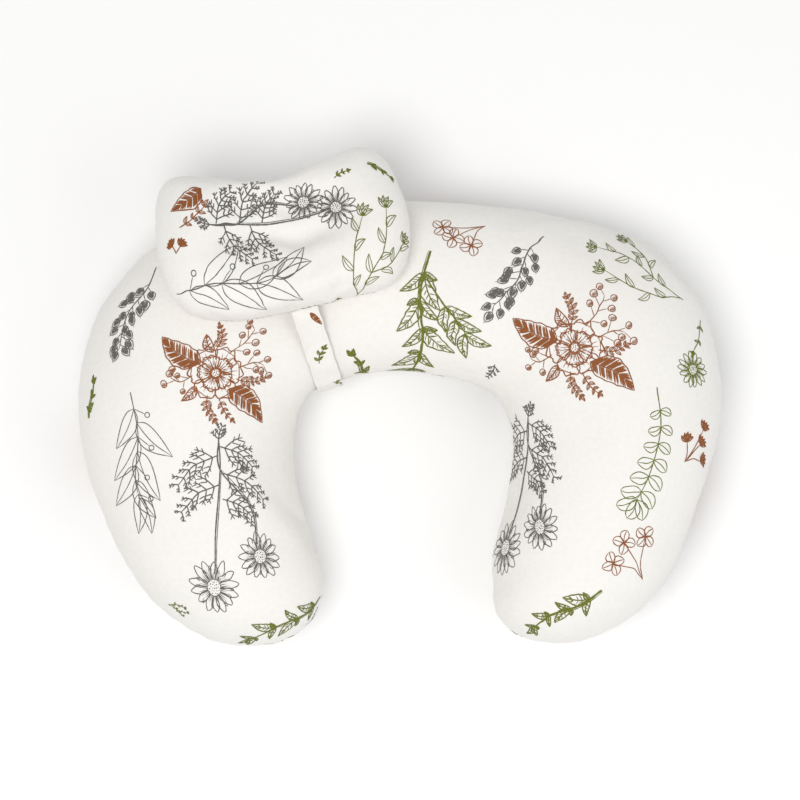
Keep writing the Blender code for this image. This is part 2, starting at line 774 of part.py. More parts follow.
def strap_parts(main_surface, head_surface):
    head_points = np.array([head_place(p) for p in head_surface.points])
    surfaces = [
        (main_surface.points, main_surface.upper + main_surface.lower),
        (head_points, head_surface.lower),
    ]
    loop = resample(strap_loop(surfaces), STRAP_STEP)
    under = [k for k, (_, height) in enumerate(loop) if height < SEAM_Z - UNDER_ARCH_DROP]
    turn = [k for k in under if loop[k][0] > FRONT_BAND_END][0]
    first_layer = STRAP_CLEARANCE + STRAP_THICK / 2
    stack = first_layer + STRAP_THICK + 2 * PATCH_THICK + 3 * PATCH_GAP
    front = offset_line(loop, np.full(len(loop), first_layer))[:turn]
    front[0] = towards(loop[0], front[1], FRONT_STANDOFF)
    band("strap_front_band", front, STRAP_WIDTH, STRAP_THICK, cotton())

    hinge = [k for k in under if loop[k][0] >= TAB_HINGE][0]
    tail = len(loop) - 1 - hinge
    drawn_in = smoothstep(np.arange(tail + 1), 0, tail * BACK_BAND_EASE)
    depths = np.concatenate([np.full(hinge, stack), stack + (first_layer - stack) * drawn_in])
    lower = offset_line(loop, depths)
    back = lower[hinge:]
    back[-1] = towards(loop[-1], back[-2], BACK_STANDOFF)
    band("strap_back_band", back, STRAP_WIDTH, STRAP_THICK, cotton())
    tab = under_arch(lower, TAB_END, lower[hinge][0])
    tab[-1] = towards(tab[-1], tab[-2], TAB_GAP)
    pivot = strap_point(*lower[hinge])
    turn_about(pivot, band("strap_tab", tab, STRAP_WIDTH, STRAP_THICK, cotton()))

    tape = material("hook_and_loop", ZIP_WHITE, 0.95)
    overlap = under_arch(loop, TAB_END + PATCH_FROM_TAB_END, FRONT_BAND_END - PATCH_FROM_BAND_END)
    loop_side = first_layer + STRAP_THICK / 2 + PATCH_GAP + PATCH_THICK / 2
    hook_side = loop_side + PATCH_THICK + PATCH_GAP
    loop_line = offset_line(overlap, np.full(len(overlap), loop_side))
    hook_line = offset_line(overlap, np.full(len(overlap), hook_side))
    band("strap_loop_patch", loop_line, PATCH_WIDTH, PATCH_THICK, tape)
    turn_about(pivot, band("strap_hook_patch", hook_line, PATCH_WIDTH, PATCH_THICK, tape))


def care_label():
    """A blank label, sewn to the inside of the lower panel just under the zip."""
    path = main_zip_path()
    points, faces = [], []
    for i in range(4):
        for across, out in LABEL_PROFILE:
            along = LABEL_AT + LABEL_LENGTH * i / 3
            points.append(path.place(along, across, out))
    for i in range(3):
        for j in range(2):
            k = 3 * i + j
            faces.append([k, k + 3, k + 4, k + 1])
    label = mesh_object("main_care_label", points, faces, material("label", LINER_WHITE, 0.6))
    solidify(label, LABEL_THICK)


# ---- build -------------------------------------------------------------------------------------------
clear_scene()
PARTS = bpy.data.collections.new("nursing_pillow")
CUTTERS = bpy.data.collections.new("cutters")
for collection in (PARTS, CUTTERS):
    bpy.context.scene.collection.children.link(collection)

main = main_skin()
main_cover(main)
main_inside(main)
main_seam_thread()
main_sides, head_sides = (("upper", 1), ("lower", -1)), (("back", 1), ("front", -1))
main_slider_at, head_slider_at = MAIN_ZIP_FROM + SLIDER_FROM_END, HEAD_ZIP_FROM + SLIDER_FROM_END
slider = zip_parts("main", main_zip_path(), MAIN_ZIP_FROM, MAIN_ZIP_TO, main_slider_at, main_sides)
turn_about(ARC_CENTRE, slider)
care_label()
head = head_skin()
head_parts(head)
zip_parts("head", head_zip_path(), HEAD_ZIP_FROM, HEAD_ZIP_TO, head_slider_at, head_sides)
strap_parts(main, head)
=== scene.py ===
import math
import random

import bmesh
import bpy
import numpy as np
from mathutils import Matrix, Vector
from mathutils.bvhtree import BVHTree
from mathutils.kdtree import KDTree


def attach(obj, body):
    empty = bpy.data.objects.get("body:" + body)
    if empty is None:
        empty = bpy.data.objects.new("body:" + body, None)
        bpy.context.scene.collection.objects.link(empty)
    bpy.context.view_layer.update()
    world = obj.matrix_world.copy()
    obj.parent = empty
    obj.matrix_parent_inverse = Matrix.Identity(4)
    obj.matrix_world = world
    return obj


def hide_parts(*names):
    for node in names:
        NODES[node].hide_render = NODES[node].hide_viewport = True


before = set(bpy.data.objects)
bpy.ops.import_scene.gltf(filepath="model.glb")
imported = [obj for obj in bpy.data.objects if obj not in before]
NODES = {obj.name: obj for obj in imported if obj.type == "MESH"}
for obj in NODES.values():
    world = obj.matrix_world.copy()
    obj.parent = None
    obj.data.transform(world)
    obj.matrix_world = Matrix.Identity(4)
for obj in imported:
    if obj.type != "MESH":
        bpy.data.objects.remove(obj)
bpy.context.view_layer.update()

MM = 0.001
TINY = 1e-9

# ---- sizes of the main pillow, in millimetres ------------------------------------------------------
SEAM_Z = 72.0
ARCH_HALF_THICK, ARM_HALF_THICK = 62.0, 75.0
THICKEN_FROM, THICKEN_TO = 110.0, 205.0
UNDER_FULLNESS = 1.17
ARC_TOP, ARC_RADIUS = 188.0, 780.0
# Within the first distance of the strap, of the head pillow and of the zip, the main cover keeps the
# CAD's shape or swells little. From the second distance on it swells freely.
STRAP_REACH, HEAD_REACH, ZIP_REACH = (13, 46), (2, 38), (8, 36)
TIP_STATIONS = 3  # the stations at each end whose fabric fans out from one point of the crown
# Facing points of the outer and the inner seam, from the left tip round the arch to the right tip.
# None in place of a Y: the point lies on the arch's arc.
STATIONS = (
    ((-146, -229), (-146, -229)), ((-178, -222), (-112, -225)), ((-217, -198), (-82, -205)),
    ((-247, -164), (-72, -172)), ((-270, -122), (-80, -132)), ((-290, -68), (-94, -86)),
    ((-299, -8), (-98, -45)), ((-291, 55), (-95, -14)), ((-263, 112), (-86, 3)),
    ((-215, 152), (-72, 12)), ((-160, None), (-55, 18)), ((-100, None), (-36, 23)),
    ((-44, None), (-16, 26)), ((16, None), (7, 26)), ((80, None), (29, 24)),
    ((144, None), (52, 19)), ((220, 151), (76, 12)), ((264, 119), (90, 3)),
    ((292, 55), (100, -14)), ((299, -8), (105, -45)), ((287, -70), (99, -90)),
    ((266, -130), (88, -135)), ((243, -173), (86, -172)), ((210, -205), (90, -200)),
    ((175, -222), (112, -220)), ((145, -228), (145, -228)),
)
ZIP_FROM, ZIP_TO, ZIP_SLOT, ZIP_EASE = -20.0, 148.0, 4.3, 16.0
ZIP_BEHIND = 120.0  # the zip's seam lies further back than this
STRAP_FOOT, STRAP_LEAN = np.array([-66.0, 13.6]), math.radians(18.8)
STRAP_BACK = np.array([-math.sin(STRAP_LEAN), math.cos(STRAP_LEAN)])
STRAP_SIDE = np.array([math.cos(STRAP_LEAN), math.sin(STRAP_LEAN)])
STRAP_WIDTH, HEM_INSET, HEM_HEIGHT = 25.0, 2.4, 0.62
STRAP_FROM, STRAP_TO = -60.0, 230.0  # where the strap can press on the cover, measured back from its foot
TRAVEL = 70.0 * np.array([0.992757, 0.120137])  # how far the head pillow and its strap slip along the arch
TRAVEL_SHARES = (0.0, 0.5, 1.0)

# ---- sizes of the head pillow, in its own frame ----------------------------------------------------
HEAD_CENTRE = (-108.0, 144.4, 146.2)
HEAD_YAW, HEAD_PITCH, HEAD_ROLL = 9.5, 15.0, 1.6
HEAD_BEND_RADIUS = 180.0
HEAD_TOP, HEAD_UNDER = 38.0, 16.0
HEAD_EDGE_TOP, HEAD_EDGE_UNDER = 44.0, 30.0
HEAD_SPINE = 52.0  # half the length of the line where its panels' fabric meets in the middle
DISH_DEPTH, DISH_HALF_LENGTH, DISH_HALF_WIDTH = 21.0, 56.0, 34.0
FOLDS_HALF_LENGTH, FOLDS_HALF_WIDTH = 62.0, 40.0
HEAD_ZIP_Y = 14.0  # its zip runs along X at this Y
HEAD_SLIT_HALF_LENGTH, HEAD_SLIT_HALF_WIDTH = 60.0, 3.6
HEAD_CLEARANCE = 1.0  # between its underside and the main cover
HEAD_OUTLINE = (
    (117, -8), (114, 31), (104, 62), (83, 75), (48, 67), (0, 56), (-46, 65), (-82, 74),
    (-105, 66), (-114, 31), (-115, -10), (-107, -45), (-88, -63), (-50, -72), (0, -71),
    (45, -68), (88, -63), (108, -45),
)

# ---- the fabric's mesh and its simulation ----------------------------------------------------------
MAIN_CELL, HEAD_CELL = 8.0, 5.5  # edge lengths before the subdivision
PROFILE_STEPS = 48
LAST_FRAME = 20
CLOTH = dict(
    quality=6, mass=0.3, tension_stiffness=20, compression_stiffness=20, shear_stiffness=10,
    bending_stiffness=0.4, air_damping=4, vertex_group_mass="held", use_pressure=True,
    uniform_pressure_force=4.0,
)
CASING_INSET, FILLING_INSET, LUMPS = 3.6, 5.4, 1.4
COVER_THREADS, THREAD_RELIEF = 330.0, 0.00012  # the weave's scale, and its height in metres
# How far the print lies over its cloth. Strokes that cross lie at different levels.
MAIN_LIFT, HEAD_LIFT, STRAP_LIFT = 0.22, 0.2, 0.12
LIFT_STEP, LIFT_LEVELS = 0.012, 5


# ---- curves and small helpers ----------------------------------------------------------------------
def catmull(points, steps, closed=False):
    """A smooth curve through the points."""
    pts = np.array(points, float)
    count = len(pts)
    made = []
    for i in range(count if closed else count - 1):
        a, b, c, d = (
            pts[k % count] if closed else pts[min(max(k, 0), count - 1)] for k in range(i - 1, i + 3)
        )
        for step in range(steps):
            t = step / steps
            made.append(0.5 * (2 * b + (c - a) * t + (2 * a - 5 * b + 4 * c - d) * t**2
                               + (3 * b - a - 3 * c + d) * t**3))
    if not closed:
        made.append(pts[-1])
    return np.array(made)


def smoothstep(x, low, high):
    t = np.clip((np.asarray(x, float) - low) / (high - low), 0.0, 1.0)
    return t * t * (3 - 2 * t)


def lengths_along(points, closed=False):
    ends = np.vstack([points, points[:1]]) if closed else points
    return np.concatenate([[0], np.cumsum(np.linalg.norm(np.diff(ends, axis=0), axis=1))])


def sampled(line, want, at):
    """The line's points at the wanted distances along it."""
    return np.stack([np.interp(want, at, line[:, k]) for k in range(line.shape[1])], axis=-1)


def unit(vectors):
    return vectors / np.maximum(np.linalg.norm(vectors, axis=-1, keepdims=True), TINY)


def distance_to(outline, points):
    best = np.full(len(points), 1e9)
    for a, run in zip(outline, np.roll(outline, -1, axis=0) - outline):
        gap = points - a
        t = np.clip(gap @ run / max(run @ run, TINY), 0.0, 1.0)
        best = np.minimum(best, ((gap - t[:, None] * run) ** 2).sum(1))
    return np.sqrt(best)


def inside(outline, points):
    found = np.zeros(len(points), bool)
    for p, q in zip(outline, np.roll(outline, -1, axis=0)):
        crosses = (p[1] > points[:, 1]) != (q[1] > points[:, 1])
        slope = (q[0] - p[0]) / (q[1] - p[1] if abs(q[1] - p[1]) > TINY else TINY)
        found ^= crosses & (points[:, 0] < p[0] + slope * (points[:, 1] - p[1]))
    return found


def wave_noise(seed, x, lengths, total=None):
    """Smooth noise of about -1..1 along x. With a total, it repeats after that length."""
    rng = random.Random(seed)
    value = np.zeros(np.shape(x))
    for length in lengths:
        if total:
            length = total / max(1, round(total / length))
        value = value + np.sin(2 * math.pi * np.asarray(x) / length + rng.uniform(0, 6.3))
    return value / max(1.0, len(lengths) ** 0.5)


def turned(x, y, angle, base=(0.0, 0.0)):
    c, s = math.cos(angle), math.sin(angle)
    return (base[0] + x * c - y * s, base[1] + x * s + y * c)


def polar(distance, angle, base=(0.0, 0.0)):
    return turned(distance, 0.0, angle, base)


def bell(x, width):
    return np.exp(-((x / width) ** 2))


# ---- panels: a pillow's upper and lower fabric, meshed from the seam to the middle line ------------
class Pillow:
    """A pillow sewn from two panels of one cut. Rows run round it, from the seam (row 0) to the spine."""

    def __init__(self, seam, spine, top, under, cell, far_column):
        self.seam, self.spine, self.cell, self.far_column = seam, spine, cell, far_column
        self.total = len(seam)
        share = 1 - np.cos(np.linspace(0, math.pi / 2, PROFILE_STEPS + 1))
        plan = seam[:, None, :] + share[None, :, None] * (spine - seam)[:, None, :]
        sides = [np.concatenate([plan, height(plan)[..., None]], axis=2) for height in (top, under)]
        self.reach = np.linalg.norm(np.diff(sides[0], axis=1), axis=2).sum(1)
        self.rows = max(6, round(float(np.percentile(self.reach, 70)) / (cell * 0.87)))
        self.rings = [self.row_points(side) for side in sides]
        self.build()

    def row_points(self, side):
        """The points of every row, evenly spaced along each column's fabric: [row, column, xyz]."""
        lines = [(line, lengths_along(line)) for line in side]
        return np.stack([sampled(line, np.linspace(0, at[-1], self.rows + 1), at) for line, at in lines], 1)

    def build(self):
        """Makes one closed mesh, with the row and the flat cut's place of each point."""
        columns = [self.even_columns(row) for row in range(self.rows)] + [self.spine_columns()]
        points, flat, rows, index = [], [], [], {}

        def key(side, row, k):
            return (0 if row == 0 else side, row, self.spine_key[k] if row == self.rows else k)

        for side, ring in enumerate(self.rings):
            for row, here in enumerate(columns):
                for k, column in enumerate(here):
                    if key(side, row, k) in index:
                        continue
                    index[key(side, row, k)] = len(points)
                    points.append(self.between(ring[row], column))
                    rows.append(row)
                    seam, spine = self.between(self.seam, column), self.between(self.spine, column)
                    inwards = (spine - seam) / max(np.linalg.norm(spine - seam), 1e-6)
                    reach = self.between(self.reach, column)
                    flat.append(spine - inwards * (reach - reach * row / self.rows))
        self.points, self.flat, self.row_of = np.array(points), np.array(flat), np.array(rows)
        self.seam_count = len(columns[0])
        panels = []
        for side in (0, 1):
            rings = [[(column, index[key(side, row, k)]) for k, column in enumerate(here)]
                     for row, here in enumerate(columns)]
            made = [f for a, b in zip(rings, rings[1:]) for f in zipper(a, b, self.total) if len(set(f)) == 3]
            panels.append(self.facing(made, -1 if side else 1))
        self.faces_top, self.faces_under = panels
        self.faces = self.faces_top + self.faces_under

    def facing(self, faces, sign):
        a, b, c = (self.points[np.array(faces)[:, k]] for k in range(3))
        return [f[::-1] for f in faces] if np.cross(b - a, c - a)[:, 2].sum() * sign < 0 else faces

    def even_columns(self, row):
        at = lengths_along(self.rings[0][row], closed=True)
        count = max(8, round(at[-1] / self.cell))
        want = (np.arange(count) + 0.5 * (row % 2)) * at[-1] / count
        return list(np.interp(want, at, np.arange(self.total + 1)))

    def spine_columns(self):
        """The spine's points as a loop of columns, out along one side and back along the other."""
        far = self.far_column
        at = lengths_along(self.spine[: far + 1])
        count = max(2, round(at[-1] / self.cell))
        want = np.linspace(0, at[-1], count + 1)
        there = [0.0]
        for w in want[1:-1]:
            low = np.searchsorted(at, w - 1e-6)
            high = np.searchsorted(at, w + 1e-6, side="right") - 1
            there.append((low + high) / 2 if high >= low else float(np.interp(w, at, np.arange(len(at)))))
        there.append(float(far))
        home = lengths_along(np.vstack([self.spine[far:], self.spine[:1]])[::-1])
        back = [self.total - float(np.interp(w, home, np.arange(len(home)))) for w in want[1:-1][::-1]]
        self.spine_key = list(range(count + 1)) + list(range(count - 1, 0, -1))
        return there + back

    def between(self, values, column):
        low = math.floor(column)
        t = column - low
        return values[low % self.total] * (1 - t) + values[(low + 1) % self.total] * t


def zipper(a, b, total):
    """Triangles between two rings given as (column, vertex), both in order of their columns."""
    faces = []
    i = j = 0
    n, m = len(a), len(b)
    while i < n or j < m:
        next_a = a[(i + 1) % n][0] + (total if i + 1 >= n else 0)
        next_b = b[(j + 1) % m][0] + (total if j + 1 >= m else 0)
        va, vb = a[i % n][1], b[j % m][1]
        if j >= m or (i < n and next_a <= next_b):
            faces.append((va, a[(i + 1) % n][1], vb))
            i += 1
        else:
            faces.append((va, b[(j + 1) % m][1], vb))
            j += 1
    return faces


def arc_y(x):
    return ARC_TOP - ARC_RADIUS + math.sqrt(ARC_RADIUS**2 - x**2)


def main_pillow_shape():
    steps = 12
    outer = catmull([(x, arc_y(x) if y is None else y) for (x, y), _ in STATIONS], steps)
    inner = catmull([point for _, point in STATIONS], steps)
    tip = TIP_STATIONS * steps
    middle = (outer + inner) / 2
    middle[:tip], middle[-tip:] = middle[tip].copy(), middle[-1 - tip].copy()
    seam = np.concatenate([outer, inner[1:-1][::-1]])
    spine = np.concatenate([middle, middle[1:-1][::-1]])
    reach = np.linalg.norm(spine - seam, axis=1)
    grown = smoothstep(np.abs(spine[:, 0]), THICKEN_FROM, THICKEN_TO)
    thick = ARCH_HALF_THICK + (ARM_HALF_THICK - ARCH_HALF_THICK) * grown

    def swell(plan):
        away = np.linalg.norm(plan - seam[:, None, :], axis=2) / reach[:, None]
        return thick[:, None] * np.sqrt(np.clip(1 - (1 - away) ** 2, 0, 1))

    def top(plan):
        return SEAM_Z + swell(plan)

    def under(plan):
        """The same curve, fuller, levelled off where the pillow rests."""
        level = np.minimum(thick, SEAM_Z)[:, None]
        soft = level * np.tanh((UNDER_FULLNESS * swell(plan) / level) ** 3 * 1.1) ** (1 / 3)
        return SEAM_Z - np.clip(soft, 0, level)

    return Pillow(seam, spine, top, under, MAIN_CELL, len(outer) - 1)


HEAD_TURN = (
    Matrix.Rotation(math.radians(HEAD_YAW), 3, "Z")
    @ Matrix.Rotation(math.radians(HEAD_ROLL), 3, "Y")
    @ Matrix.Rotation(math.radians(-HEAD_PITCH), 3, "X")
)


def head_place(points):
    """From the flat head pillow's frame to where it lies, sagging over the arch."""
    x, y, z = np.moveaxis(np.asarray(points, float), -1, 0)
    angle, reach = y / HEAD_BEND_RADIUS, HEAD_BEND_RADIUS + z
    bent = np.stack([x, reach * np.sin(angle), reach * np.cos(angle) - HEAD_BEND_RADIUS], axis=-1)
    return bent @ np.array(HEAD_TURN).T + np.array(HEAD_CENTRE)


HEAD_RIM = catmull(HEAD_OUTLINE, 8, closed=True)
HEAD_PLAN = head_place(np.concatenate([HEAD_RIM, np.zeros((len(HEAD_RIM), 1))], axis=1))[:, :2]


def head_pillow_shape():
    spine = np.stack([np.clip(HEAD_RIM[:, 0], -HEAD_SPINE, HEAD_SPINE), np.zeros(len(HEAD_RIM))], axis=1)

    def rise(plan, width):
        away = distance_to(HEAD_RIM, plan.reshape(-1, 2)).reshape(plan.shape[:-1])
        return np.sqrt(1 - (1 - np.clip(away / width, 0, 1)) ** 2)

    def top(plan):
        reach = (plan[..., 0] / DISH_HALF_LENGTH) ** 2 + (plan[..., 1] / DISH_HALF_WIDTH) ** 2
        return (HEAD_TOP - DISH_DEPTH * np.exp(-(reach**1.4))) * rise(plan, HEAD_EDGE_TOP)

    def under(plan):
        return -HEAD_UNDER * rise(plan, HEAD_EDGE_UNDER)

    return Pillow(HEAD_RIM, spine, top, under, HEAD_CELL, int(np.argmin(HEAD_RIM[:, 0])))


# ---- the covers swell: cloth, then the gathered seam -----------------------------------------------
def simulate(pillow, name, growth, cap, hold):
    """Swells the sewn cover with Blender's cloth: the seam is held, the fabric is a little too large."""
    start = pillow.points.copy()
    obj = mesh_object(name, start * MM, pillow.faces)
    pins = obj.vertex_groups.new(name="held")
    for number in range(len(start)):
        weight = 1.0 if number < pillow.seam_count else 0.0 if hold is None else float(hold[number])
        if weight > 0.01:
            pins.add([number], weight, "REPLACE")
    cloth = obj.modifiers.new("cloth", "CLOTH")
    for setting, value in CLOTH.items():
        setattr(cloth.settings, setting, value)
    cloth.settings.shrink_min = cloth.settings.shrink_max = -growth
    cloth.settings.effector_weights.gravity = 0
    cloth.point_cache.frame_start, cloth.point_cache.frame_end = 1, LAST_FRAME
    scene = bpy.context.scene
    for number in range(1, LAST_FRAME + 1):
        scene.frame_set(number)
    moved = mesh_numbers(evaluated(obj).data.vertices, "co", 3) / MM
    scene.frame_set(1)
    bpy.data.objects.remove(obj)
    shift = moved - start
    far = np.linalg.norm(shift, axis=1, keepdims=True)
    return start + shift * np.tanh(far / cap) * cap / np.maximum(far, 1e-6)


def smoothed(points, faces, held, rounds=2, strength=0.5):
    """Evens out the smallest wrinkles: each point moves part of the way to its neighbours' middle."""
    a = np.array([(f[i], f[(i + 1) % 3]) for f in faces for i in range(3)])
    count = np.bincount(a.ravel(), minlength=len(points))
    for _ in range(rounds):
        total = np.zeros_like(points)
        np.add.at(total, a[:, 0], points[a[:, 1]])
        np.add.at(total, a[:, 1], points[a[:, 0]])
        middle = total / np.maximum(count, 1)[:, None]
        points = points + strength * (1 - held)[:, None] * (middle - points)
    return points


def swollen(pillow, name, keep, growth, cap, hold=None):
    """The cover after its simulation, with the swelling scaled by keep at each point."""
    held = np.zeros(len(pillow.points))
    held[: pillow.seam_count] = 1.0
    moved = smoothed(simulate(pillow, name, growth, cap, hold), pillow.faces, held)
    return pillow.points + (moved - pillow.points) * keep[:, None]


def seam_gather(pillow, points, normals, limit, depth, tuck, reach, seed):
    """The seam sits in a shallow groove, and the fabric beside it is gathered into small puckers."""
    seam = points[: pillow.seam_count]
    at = lengths_along(seam, closed=True)
    tree = tree_of(seam)
    result = points.copy()
    for k, p in enumerate(points):
        _, near, gap = tree.find(p)
        if gap > reach * 2:
            continue
        ripple = float(wave_noise(seed, at[near], (9.0, 13.0, 21.0), at[-1]))
        amount = depth * ripple * math.exp(-((gap / reach) ** 2)) * min(1.0, 0.35 + gap / reach)
        if k < pillow.seam_count:
            amount -= tuck
        result[k] = p + normals[k] * amount * limit[k]
    return result


# ---- mesh objects ----------------------------------------------------------------------------------
def linked(name, data):
    obj = bpy.data.objects.new(name, data)
    bpy.context.scene.collection.objects.link(obj)
    return obj


def mesh_object(name, points, faces, smooth=True):
    mesh = bpy.data.meshes.new(name)
    mesh.from_pydata([tuple(p) for p in points], [], faces)
    mesh.polygons.foreach_set("use_smooth", [smooth] * len(mesh.polygons))
    return linked(name, mesh)


def evaluated(obj):
    return obj.evaluated_get(bpy.context.evaluated_depsgraph_get())


def mesh_numbers(items, name, size, kind=float):
    """One property of a mesh's parts, as an array."""
    values = np.zeros(len(items) * size, kind)
    items.foreach_get(name, values)
    return values.reshape(-1, size) if size > 1 else values


def tree_of(points):
    tree = KDTree(len(points))
    for k, p in enumerate(points):
        tree.insert(p, k)
    tree.balance()
    return tree


def vertex_normals(points, faces):
    f = np.array(faces)
    n = np.cross(points[f[:, 1]] - points[f[:, 0]], points[f[:, 2]] - points[f[:, 0]])
    normals = np.zeros_like(points)
    for i in range(3):
        np.add.at(normals, f[:, i], n)
    return unit(normals)


def used_only(faces):
    """The numbers of the points the faces use, and the faces in terms of those."""
    used = sorted({v for f in faces for v in f})
    number = {v: k for k, v in enumerate(used)}
    return used, [tuple(number[v] for v in f) for f in faces]


def mesh_piece(name, points, faces, surface, body, slot, *nodes):
    """A visual piece in metres, riding on a body in place of the named CAD nodes."""
    finish_piece(mesh_object(name, points, faces), surface, body, slot, *nodes)


def finish_piece(obj, surface, body, slot, *nodes):
    obj.data.materials.clear()
    obj.data.materials.append(surface)
    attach(obj, body)
    if nodes:
        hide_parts(*nodes)


def panel_mesh(name, points, faces, flat, subdivide=False):
    """A panel's mesh object. Its UV layer "cut" holds the flat cut, in metres."""
    used, faces = used_only(faces)
    obj = mesh_object(name, points[used] * MM, faces)
    corner = mesh_numbers(obj.data.loops, "vertex_index", 1, int)
    obj.data.uv_layers.new(name="cut").data.foreach_set("uv", (flat[used][corner] * MM).ravel())
    if subdivide:
        smooth = obj.modifiers.new("smooth", "SUBSURF")
        smooth.levels = 1
        smooth.use_limit_surface = False
        made = bpy.data.meshes.new_from_object(evaluated(obj))
        obj.modifiers.clear()
        obj.data = made
    return obj


# ---- the cut: from a place on the flat fabric to the finished panel --------------------------------
class Cut:
    """Finds the place on a finished panel of a point of its flat cut."""

    def __init__(self, obj):
        mesh = obj.data
        mesh.calc_loop_triangles()
        self.verts = mesh_numbers(mesh.vertices, "co", 3)
        self.normals = mesh_numbers(mesh.vertex_normals, "vector", 3)
        corners = mesh_numbers(mesh.loops, "vertex_index", 1, int)
        loops = mesh_numbers(mesh.loop_triangles, "loops", 3, int)
        self.flat = np.zeros((len(mesh.vertices), 2))
        self.flat[corners] = mesh_numbers(mesh.uv_layers["cut"].data, "uv", 2)
        self.tris = corners[loops]
        self.tree = BVHTree.FromPolygons([(x, y, 0.0) for x, y in self.flat], self.tris.tolist())
        self.plan = tree_of([(x, y, 0.0) for x, y, _ in self.verts])

    def at(self, x, y, lift):
        place, _, face, _ = self.tree.find_nearest((x, y, 0.0))
        a, b, c = self.tris[face]
        pa, pb, pc = self.flat[a], self.flat[b], self.flat[c]
        whole = (pb[0] - pa[0]) * (pc[1] - pa[1]) - (pc[0] - pa[0]) * (pb[1] - pa[1])
        if abs(whole) < 1e-14:
            return self.verts[a] + self.normals[a] * lift
        px, py = place[0] - pa[0], place[1] - pa[1]
        wb = (px * (pc[1] - pa[1]) - (pc[0] - pa[0]) * py) / whole
        wc = ((pb[0] - pa[0]) * py - px * (pb[1] - pa[1])) / whole
        shares = np.array([1 - wb - wc, wb, wc])
        return shares @ (self.verts[[a, b, c]] + self.normals[[a, b, c]] * lift)

    def facing(self, x, y):
        face = self.tree.find_nearest((x * MM, y * MM, 0.0))[2]
        return self.normals[self.tris[face][0]]

    def over(self, x, y):
        """The cut's point that lies at this plan position, all in millimetres."""
        found = self.plan.find_n((x * MM, y * MM, 0.0), 4)
        weight = np.array([1 / (distance + 1e-5) for _, _, distance in found])
        flat = np.array([self.flat[k] for _, k, _ in found])
        return (weight[:, None] * flat).sum(0) / weight.sum() / MM


# ---- the print: strokes of three inks, drawn on the flat cut ---------------------------------------
STROKE_STEP = 2.2  # the length of one step of a stroke
# A stroke's width at its start and at its end, as shares of its whole width.
FULL, FADING, BLUNT, THICK_START = (1, 1), (0.35, 0.35), (1.0, 0.5), (1.3, 0.3)


class Pen:
    """Draws in its own frame, in millimetres, with +X along the motif. Strokes are thin polygons."""

    def __init__(self, shapes, seed, origin, angle, ink, flip=False):
        self.strokes, self.rng = shapes[ink], random.Random(seed)
        self.origin, self.angle, self.flip = np.array(origin, float), angle, flip

    def uniform(self, low, high):
        return self.rng.uniform(low, high)

    def curve(self, points, width, ends=FADING, closed=False):
        line = catmull(points, 6, closed)
        if closed:
            line = np.vstack([line, line[:1]])
        at = lengths_along(line)
        if at[-1] < 0.4:
            return
        count = max(3, round(at[-1] / STROKE_STEP) + 1)
        line = sampled(line, np.linspace(0, at[-1], count), at)
        ahead = unit(np.gradient(line, axis=0))
        side = np.stack([-ahead[:, 1], ahead[:, 0]], axis=1)
        t = np.linspace(0, 1, count)
        swell = np.minimum(1, ends[0] + (1 - ends[0]) * t * 5)
        swell = swell * np.minimum(1, ends[1] + (1 - ends[1]) * (1 - t) * 5)
        swell *= 1 + 0.18 * np.array([self.uniform(-1, 1) for _ in t])
        half = side * (swell * width / 2)[:, None]
        faces = [(k, k + 1, count + k + 1, count + k) for k in range(count - 1)]
        self.strokes.append((np.vstack([self.placed(line + half), self.placed(line - half)]), faces))

    def placed(self, pts):
        pts = np.array(pts, float) * (1, -1 if self.flip else 1)
        c, s = math.cos(self.angle), math.sin(self.angle)
        return pts @ np.array([[c, s], [-s, c]]) + self.origin

    def dot(self, centre, radius, points=5):
        turn = self.uniform(0, 6.3)
        ring = self.placed([
            (centre[0] + radius * math.cos(turn + 2 * math.pi * k / points) * self.uniform(0.85, 1.1),
             centre[1] + radius * math.sin(turn + 2 * math.pi * k / points) * self.uniform(0.85, 1.1))
            for k in range(points)
        ])
        faces = [(k, (k + 1) % points, points) for k in range(points)]
        self.strokes.append((np.vstack([ring, ring.mean(0)]), faces))

    def ring(self, centre, radius, points, width):
        rim = [polar(radius, 2 * math.pi * k / points, centre) for k in range(points)]
        self.curve(rim, width, FULL, closed=True)


def leaf_shape(base, angle, length, width, bend, blunt=False):
    """A leaf's own frame: a point at share t of its length, and half its width there."""
    def at(t, v):
        return turned(length * t, v + bend * length * math.sin(math.pi * t), angle, base)

    def half(t):
        if blunt:
            return width / 2 * math.sin(math.pi * min(1, t**1.1)) ** 0.6
        return width / 2 * math.sin(math.pi * min(1, t**0.8)) ** 0.85 * (1 - 0.25 * t)

    return at, half


